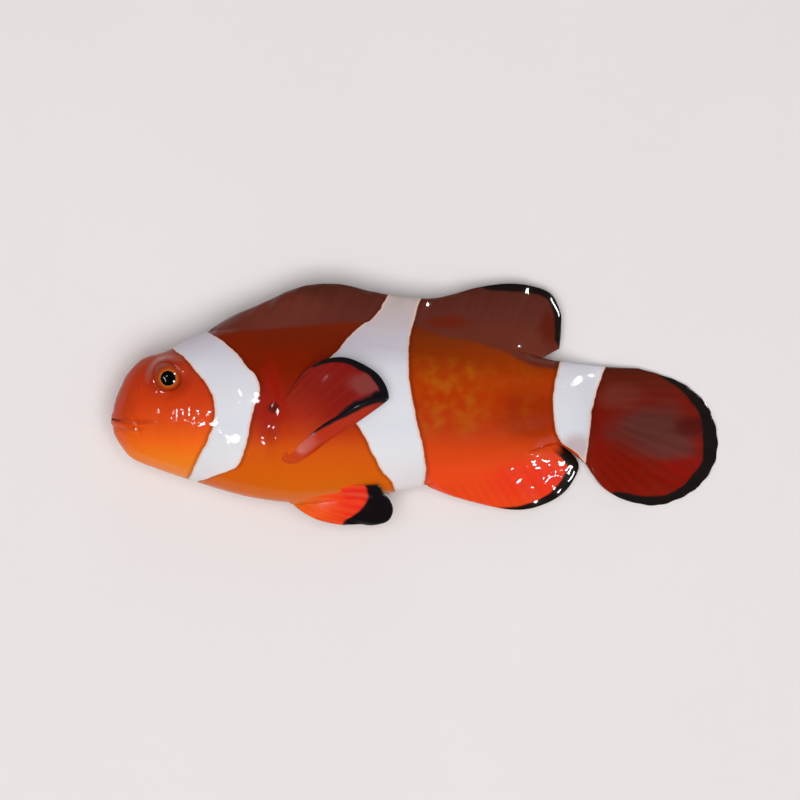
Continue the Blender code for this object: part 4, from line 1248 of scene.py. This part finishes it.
def flank_sheet(points, normal, side):
    """One flank of the skin as an even sheet: its points and normals at equal shares of girth,
    and the distance of each row from the snout along the flank's middle."""
    last = points.shape[1] - 1
    columns = np.arange(ANAL_COLUMNS, ANAL_COLUMNS + FLANK_COLUMNS + 1)
    columns = columns if side > 0 else last - columns
    points, normal = points[:, columns], normal[:, columns]
    share = np.linspace(0, 1, FLANK_COLUMNS + 1)
    even_points, even_normal = np.empty_like(points), np.empty_like(normal)
    for row in range(len(points)):
        steps = np.linalg.norm(np.diff(points[row], axis=0), axis=1)
        reach = np.concatenate(([0.0], np.cumsum(steps)))
        reach /= max(reach[-1], NO_LENGTH)
        for axis in range(3):
            even_points[row, :, axis] = np.interp(share, reach, points[row, :, axis])
            even_normal[row, :, axis] = np.interp(share, reach, normal[row, :, axis])
    middle = even_points[:, FLANK_COLUMNS // 2]
    run = np.concatenate(([0.0], np.cumsum(np.linalg.norm(np.diff(middle, axis=0), axis=1))))
    return even_points, even_normal, run


def read_sheet(sheet, row, share):
    """Values of a sheet between its rows and columns."""
    row = np.clip(row, 0, sheet.shape[0] - 1.001)
    column = np.clip(share, 0, 1) * (sheet.shape[1] - 1.001)
    i, j = row.astype(int), column.astype(int)
    a, b = (row - i)[..., None], (column - j)[..., None]
    return ((sheet[i, j] * (1 - a) + sheet[i + 1, j] * a) * (1 - b)
            + (sheet[i, j + 1] * (1 - a) + sheet[i + 1, j + 1] * a) * b)


def lay_scales(name, sheet, spots, sizes, side, kind, rng):
    """Scales as one mesh. spots are (run, share) of their roots; sizes are their half lengths,
    half widths (in shares) and how far they stand. Those under the skin are left out."""
    points, normal, run = sheet
    template = scale_template(side)
    flat = np.empty(len(template.vertices) * 3)
    template.vertices.foreach_get("co", flat)
    local = flat.reshape(-1, 3)
    ahead = np.where(local[:, 0] > 0, local[:, 0] * (1 - 0.42 * local[:, 1] ** 2), local[:, 0])
    across = local[:, 1] * np.where(local[:, 0] > 0, 1 - 0.12 * local[:, 0] ** 2, 1)
    turn = rng.normal(0, 0.05, len(spots))[:, None]
    reach = spots[:, :1] + sizes[:, :1] * (ahead[None, :] - turn * across[None, :])
    share = spots[:, 1:] + sizes[:, 1:2] * (across[None, :] + turn * ahead[None, :])
    row = np.interp(reach, run, np.arange(len(run)))
    base = read_sheet(points, row, share)
    out = unit(read_sheet(normal, row, share))
    lift = kind["stand"] * (0.56 + 0.44 * ahead - 0.1 * across ** 2)
    lift = lift[None, :] * (sizes[:, 2] * rng.uniform(0.85, 1.12, len(spots)))[:, None]
    lift += SCALE_DEPTH * (local[None, :, 2] - 1 + sizes[:, 2:])
    placed = base + out * lift[..., None]
    ground = rest_level(base[..., 0], base[..., 1], side)
    free = (placed[..., 2] > ground).any(axis=1)
    placed[..., 2] = np.maximum(placed[..., 2], ground)
    placed = placed[free]

    bm = bmesh.new()
    for _ in range(len(placed)):
        bm.from_mesh(template)
    mesh = bpy.data.meshes.new(name)
    bm.to_mesh(mesh)
    bm.free()
    bpy.data.meshes.remove(template)
    mesh.vertices.foreach_set("co", (placed * MM).ravel())
    # Each scale's patch on the bake map lies where its root does on the unrolled flank
    room = 1 - 2 * MAP_RIM
    u = MAP_RIM + room * spots[free, :1] / run[-1] + ahead[None, :] * PATCH / 2
    v = MAP_RIM + room * spots[free, 1:] + across[None, :] * PATCH / 2
    corners = np.empty(len(mesh.loops), dtype=int)
    mesh.loops.foreach_get("vertex_index", corners)
    layer = mesh.uv_layers.new(name="OFBake")
    layer.data.foreach_set("uv", np.stack((u.ravel(), v.ravel()), axis=-1)[corners].ravel())
    mesh.update()
    return mesh


def scale_spots(sheet, kind, start, end, wanted):
    """Roots of staggered scales between two x positions where wanted(x, y) holds, and sizes."""
    points, _, run = sheet
    girth = np.linalg.norm(np.diff(points, axis=1), axis=-1).sum(axis=1)
    middle_x = points[:, FLANK_COLUMNS // 2, 0]
    at, stop = np.interp((start, end), middle_x, run)
    spots, sizes = [], []
    odd = 0
    while at < stop:
        pitch = kind["pitch"] * (float(np.interp(at, run, girth)) / girth.max()) ** 0.55
        shares = (np.arange(kind["rows"]) + 0.25 + 0.5 * odd) / kind["rows"]
        row = np.full(len(shares), np.interp(at, run, np.arange(len(run))))
        place = read_sheet(points, row, shares)
        stand = wanted(place[:, 0], place[:, 1])
        stand *= smooth(0.02, 0.1, shares) * smooth(0.98, 0.9, shares)
        stands = stand > LEAST_STAND
        for share, full in zip(shares[stands], stand[stands]):
            spots.append((at, share))
            sizes.append((1.9 * pitch, 0.6 / kind["rows"], full))
        at += pitch
        odd = 1 - odd
    return np.array(spots), np.array(sizes)


def flank_wanted(x, y):
    """How far a large scale stands here: full behind the gill cover, none on the fin's base."""
    gill = across_at(GILL_EDGE, y)
    base = np.hypot((x + 17.6) / 1.5, (y + 3.2) / 4.4)
    return smooth(0.9, 3.0, x - gill) * smooth(0.9, 1.6, base) * smooth(25.0, 21.5, x)


def cheek_wanted(x, y):
    """How far a small scale stands here: on the cheek and the gill cover, clear of the eye."""
    gill = across_at(GILL_EDGE, y)
    cheek = across_at(CHEEK_EDGE, y)
    off_eye = smooth(3.2, 4.8, np.hypot(x - EYE_X, y - EYE_Y))
    ridge = 1 - bell(x - cheek, 0.6) * smooth(-8.8, -7.5, y) * smooth(4.0, 2.6, y)
    low = smooth(-0.4, 1.4, y + 8.8 - 0.25 * np.abs(x + 27))
    front = smooth(-0.5, 1.8, x + 34.5 - 0.12 * (y + 3) ** 2)
    return smooth(-0.8, -2.6, x - gill) * off_eye * ridge * low * front * smooth(7.0, 4.5, y)


def eyeball(name, side):
    """An eyeball with its pole outwards, its pupil a little raised, and each point's distance
    from its axis kept for its finish."""
    bm = bmesh.new()
    bmesh.ops.create_uvsphere(bm, u_segments=48, v_segments=40, radius=EYE_RADIUS)
    for vert in bm.verts:
        away = math.hypot(vert.co.x, vert.co.y)
        if vert.co.z > 0 and away < PUPIL_REACH:
            vert.co.z += PUPIL_RISE * (1 - (away / PUPIL_REACH) ** 2)
    aways = [math.hypot(v.co.x, v.co.y) if v.co.z > 0 else EYE_RADIUS for v in bm.verts]
    axis = Vector((0.03, -0.05, side))
    turn = Vector((0, 0, 1)).rotation_difference(axis.normalized()).to_matrix()
    bmesh.ops.rotate(bm, cent=(0, 0, 0), matrix=turn, verts=bm.verts)
    out = flank_height(EYE_X, EYE_Y) - EYE_RADIUS + EYE_BULGE
    height = float(along(MIDDLE, EYE_X) + side * out)
    bmesh.ops.translate(bm, vec=(EYE_X, EYE_Y, height), verts=bm.verts)
    bmesh.ops.scale(bm, vec=(MM, MM, MM), verts=bm.verts)
    bmesh.ops.recalc_face_normals(bm, faces=bm.faces)
    mesh = bpy.data.meshes.new(name)
    bm.to_mesh(mesh)
    bm.free()
    layer = mesh.attributes.new("from_axis", "FLOAT", "POINT")
    layer.data.foreach_set("value", aways)
    mesh.shade_smooth()
    return mesh


def place_piece(mesh, finishes, slot, *nodes):
    """Make a mesh a piece of the fish: finished, riding on its body and standing for nodes."""
    for finish in finishes:
        mesh.materials.append(finish_of(finish))
    piece = bpy.data.objects.new(mesh.name, mesh)
    bpy.context.scene.collection.objects.link(piece)
    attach(piece, "root")
    if nodes:
        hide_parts(*nodes)
    return piece


FINISHES = {}


def finish_of(maker):
    """The material that a maker makes, made once."""
    if maker not in FINISHES:
        FINISHES[maker] = maker()
    return FINISHES[maker]


LENGTH = {"subtype": "DISTANCE", "unit": "LENGTH"}
WATTS = {"min": 0.0, "subtype": "POWER", "unit": "POWER"}
TONE = {"size": 4, "min": 0.0, "max": 1.0, "subtype": "COLOR"}


class ClownfishSizes(bpy.types.PropertyGroup):
    """Sizes of the scales, and of the stage's light and view."""

    flank_scale: bpy.props.FloatProperty(
        name="Flank scale", description="Distance between the rows of scales on the flank",
        default=0.00056, min=0.0002, precision=5, **LENGTH)
    cheek_scale: bpy.props.FloatProperty(
        name="Cheek scale", description="Distance between the rows of scales on the cheek",
        default=0.00042, min=0.0002, precision=5, **LENGTH)
    scale_stand: bpy.props.FloatProperty(
        name="Scale stand", description="How far a flank scale's free edge stands from the skin",
        default=0.0001, min=0.0, precision=5, **LENGTH)
    sparkle: bpy.props.FloatProperty(
        name="Sparkle", description="Power of each small lamp that the wet skin mirrors",
        default=0.28, **WATTS)
    soft_light: bpy.props.FloatProperty(
        name="Soft light", description="Power of the wide lamp overhead", default=3.55, **WATTS)
    side_light: bpy.props.FloatProperty(
        name="Side light", description="Power of the wide lamp beyond the back", default=0.4,
        **WATTS)
    camera_height: bpy.props.FloatProperty(
        name="Camera height", description="Height of the camera over the fish", default=0.6,
        min=0.1, **LENGTH)
    view_width: bpy.props.FloatProperty(
        name="Width of view", description="Width that the camera takes in at the fish",
        default=0.1049, min=0.01, **LENGTH)


class ClownfishColours(bpy.types.PropertyGroup):
    """Colours of the markings and of the floor."""

    band_rim: bpy.props.FloatVectorProperty(
        name="Band rim", description="Fine peach line round each white band",
        default=linear("E9C3AC"), **TONE)
    band_shade: bpy.props.FloatVectorProperty(
        name="Band shade", description="Dusky line just outside each white band",
        default=linear("4A1408"), **TONE)
    fin_margin: bpy.props.FloatVectorProperty(
        name="Fin margin", description="Black margin of the back, tail and anal fins",
        default=linear("1A1411"), **TONE)
    side_fin_margin: bpy.props.FloatVectorProperty(
        name="Side fin margin", description="Black margin of the side fins",
        default=linear("131013"), **TONE)
    belly_fin_tip: bpy.props.FloatVectorProperty(
        name="Belly fin tip", description="Black end of the belly fins",
        default=linear("150F12"), **TONE)
    flecks: bpy.props.FloatVectorProperty(
        name="Flecks", description="Yellow flecks in the scale pockets of the rear flank",
        default=linear("B56C10"), **TONE)
    floor: bpy.props.FloatVectorProperty(
        name="Floor", description="Colour of the floor",
        default=linear("E9E5E4"), **TONE)
    floor_cloud: bpy.props.FloatVectorProperty(
        name="Floor mottle", description="Faint darker mottle of the floor",
        default=linear("E4DFDE"), **TONE)


FLESH = ("head", "lower_jaw", "gill_cover_left", "gill_cover_right", "trunk", "tail_stalk",
         "dorsal_fin_front", "dorsal_fin_rear", "anal_fin", "caudal_fin", "pectoral_fin_left",
         "pectoral_fin_right", "pelvic_fin_left", "pelvic_fin_right")


class MESH_OT_clownfish_skin(bpy.types.Operator):
    """Make the skin of the body and all its fins as one piece"""

    bl_idname = "mesh.clownfish_skin"
    bl_label = "Skin and fins"

    def execute(self, context):
        points, _, _, fin, edge, ripple = dressed_skin()
        body = wrap("skin", points, {"fin": fin, "edge": edge, "ripple": ripple})
        bm = bmesh.new()
        bm.from_mesh(body)
        for finish, shell in PAIRED_FINS:
            known = len(bm.faces)
            fin_mesh = fin_shell(*shell)
            bm.from_mesh(fin_mesh)
            bpy.data.meshes.remove(fin_mesh)
            bm.faces.ensure_lookup_table()
            for face in bm.faces[known:]:
                face.material_index = finish
        bm.to_mesh(body)
        bm.free()
        place_piece(body, (banded_skin, side_fin_skin, belly_fin_skin), "body_skin", *FLESH)
        return {"FINISHED"}


class MESH_OT_clownfish_eyes(bpy.types.Operator):
    """Make the two eyeballs, each in its orbit"""

    bl_idname = "mesh.clownfish_eyes"
    bl_label = "Eyes"

    def execute(self, context):
        for word, side in (("left", 1), ("right", -1)):
            ball = eyeball("eyeball_" + word, side)
            place_piece(ball, (eye_finish,), "eye_gloss", "eye_" + word)
        return {"FINISHED"}


class MESH_OT_clownfish_scales(bpy.types.Operator):
    """Lay the overlapping scales on both flanks, cheeks and gill covers"""

    bl_idname = "mesh.clownfish_scales"
    bl_label = "Scales"

    def execute(self, context):
        points, normal, *_ = dressed_skin()
        rng = np.random.default_rng(SCALE_SEED)
        chosen = context.scene.clownfish_sizes
        stand = chosen.scale_stand / MM
        flank = {"pitch": chosen.flank_scale / MM, "rows": 26, "stand": stand}
        cheek = {"pitch": chosen.cheek_scale / MM, "rows": 30, "stand": 0.85 * stand}
        for word, side in (("left", 1), ("right", -1)):
            sheet = flank_sheet(points, normal, side)
            for part, kind, start, end, wanted in (
                    ("flank", flank, -25.0, 25.0, flank_wanted),
                    ("cheek", cheek, -35.0, -18.5, cheek_wanted)):
                spots, sizes = scale_spots(sheet, kind, start, end, wanted)
                mesh = lay_scales(f"{part}_scales_{word}", sheet, spots, sizes, side, kind, rng)
                place_piece(mesh, (banded_skin,), "body_skin")
        return {"FINISHED"}


# Where the small lamps hang that the eye, the cheek, the gill cover and the fins mirror, and
# how wide each one is
SPARKLE_HEIGHT = 0.36
SPARKLE_WIDTH = 0.026
SPARKLE_LAMPS = ((-0.1, 0.1, 0.026), (-0.29, 0.02, 0.026), (-0.22, -0.07, 0.026),
                 (-0.17, -0.2, 0.026), (0.5, -0.32, 0.09), (0.5, 0.34, 0.06))

# The floor and the camera
FLOOR_REACH = 1.5
FLOOR_DROP = 0.00002     # keeps the floor clear of the faces that rest on it
AIM_HEIGHT = 0.006       # the lamps are turned to this height at the fish's middle
CAMERA_OVER = (-0.0021, 0.00052, 0.0067)         # the point that the camera looks down on
SENSOR_WIDTH = 36.0
WHITE = "FFFFFF"


def area_lamp(name, place, target, size, power, colour):
    """A soft square lamp at a place, turned to a target."""
    data = bpy.data.lights.new(name, "AREA")
    data.size = size
    data.energy = power
    data.color = linear(colour)[:3]
    lamp = bpy.data.objects.new(name, data)
    lamp.location = place
    lamp.rotation_euler = (Vector(target) - Vector(place)).to_track_quat("-Z", "Y").to_euler()
    bpy.context.scene.collection.objects.link(lamp)
    return lamp


def pale_floor():
    """Matt pale laminate: an even warm white with the faintest mottle."""
    material, tree = new_finish("pale_matt_laminate")
    place = add(tree, "ShaderNodeTexCoord").outputs["Object"]
    cloud = add(tree, NOISE, {"Vector": place, "Scale": 1 / 0.05, "Detail": 2.0})
    colour = add(tree, MIX, {0: cloud, 6: tint("floor_cloud"), 7: tint("floor")}, **LAID_OVER)
    shader = tree.nodes["Principled BSDF"]
    shader.inputs["Roughness"].default_value = 0.6
    tree.links.new(colour.outputs[2], shader.inputs["Base Color"])
    return material


class SCENE_OT_clownfish_stage(bpy.types.Operator):
    """Make the floor, the lamps and the camera"""

    bl_idname = "scene.clownfish_stage"
    bl_label = "Stage"

    def execute(self, context):
        sizes = context.scene.clownfish_sizes
        bm = bmesh.new()
        bmesh.ops.create_grid(bm, x_segments=1, y_segments=1, size=FLOOR_REACH)
        bmesh.ops.translate(bm, vec=(0, 0, -FLOOR_DROP), verts=bm.verts)
        mesh = bpy.data.meshes.new("floor")
        bm.to_mesh(mesh)
        bm.free()
        mesh.materials.append(pale_floor())
        floor = bpy.data.objects.new("floor", mesh)
        context.scene.collection.objects.link(floor)
        floor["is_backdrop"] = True

        low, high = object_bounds()
        middle = (low + high) / 2
        target = Vector((middle.x, middle.y, AIM_HEIGHT))
        for name, place, size, power, colour in (
                ("overhead_softbox", (0.0, -0.12, 0.6), 0.5, sizes.soft_light, WHITE),
                ("back_softbox", (0.05, 0.5, 0.16), 0.35, sizes.side_light, "E9E6F2")):
            lamp = area_lamp(name, place, target, size, power, colour)
            lamp.visible_glossy = False
        for number, (x, y, width) in enumerate(SPARKLE_LAMPS):
            # As bright as the others whatever its width, and seen only in the wet film
            power = sizes.sparkle * (width / SPARKLE_WIDTH) ** 2
            lamp = area_lamp(f"sparkle_lamp_{number}", (x, y, SPARKLE_HEIGHT), target, width,
                             power, WHITE)
            lamp.visible_diffuse = False
        world = bpy.data.worlds.new("studio")
        world.use_nodes = True
        sky = world.node_tree.nodes["Background"]
        sky.inputs["Color"].default_value = linear("C8C4C4")
        sky.inputs["Strength"].default_value = 0.3
        world.cycles_visibility.glossy = False
        context.scene.world = world

        data = bpy.data.cameras.new("camera")
        data.sensor_width = SENSOR_WIDTH
        data.lens = SENSOR_WIDTH * sizes.camera_height / sizes.view_width
        camera = bpy.data.objects.new("camera", data)
        camera.location = Vector(CAMERA_OVER) + Vector((0, 0, sizes.camera_height))
        context.scene.collection.objects.link(camera)
        context.scene.camera = camera
        context.scene.view_settings.view_transform = "Standard"
        return {"FINISHED"}


class VIEW3D_PT_clownfish(bpy.types.Panel):
    """The fish's sizes and the steps that build it"""

    bl_label = "Clownfish"
    bl_space_type = "VIEW_3D"
    bl_region_type = "UI"
    bl_category = "Clownfish"

    def draw(self, context):
        layout = self.layout
        for group in (context.scene.clownfish_sizes, context.scene.clownfish_colours):
            for name in group.bl_rna.properties.keys():
                if name not in ("rna_type", "name"):
                    layout.prop(group, name)
        for step in STEPS:
            layout.operator(step.bl_idname)


STEPS = (MESH_OT_clownfish_skin, MESH_OT_clownfish_eyes, MESH_OT_clownfish_scales,
         SCENE_OT_clownfish_stage)
CLASSES = (ClownfishSizes, ClownfishColours, *STEPS, VIEW3D_PT_clownfish)


def register():
    """Register the classes and the scene's settings."""
    for cls in CLASSES:
        bpy.utils.register_class(cls)
    bpy.types.Scene.clownfish_sizes = bpy.props.PointerProperty(type=ClownfishSizes)
    bpy.types.Scene.clownfish_colours = bpy.props.PointerProperty(type=ClownfishColours)


def unregister():
    """Undo register."""
    del bpy.types.Scene.clownfish_colours
    del bpy.types.Scene.clownfish_sizes
    for cls in reversed(CLASSES):
        bpy.utils.unregister_class(cls)


def corners(box):
    """A box's two corners as plain lists."""
    return [list(corner) for corner in box]


def main():
    """Build the fish and the stage."""
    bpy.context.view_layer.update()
    register()
    for step in STEPS:
        area, name = step.bl_idname.split(".")
        getattr(getattr(bpy.ops, area), name)()


if __name__ == "__main__":
    main()
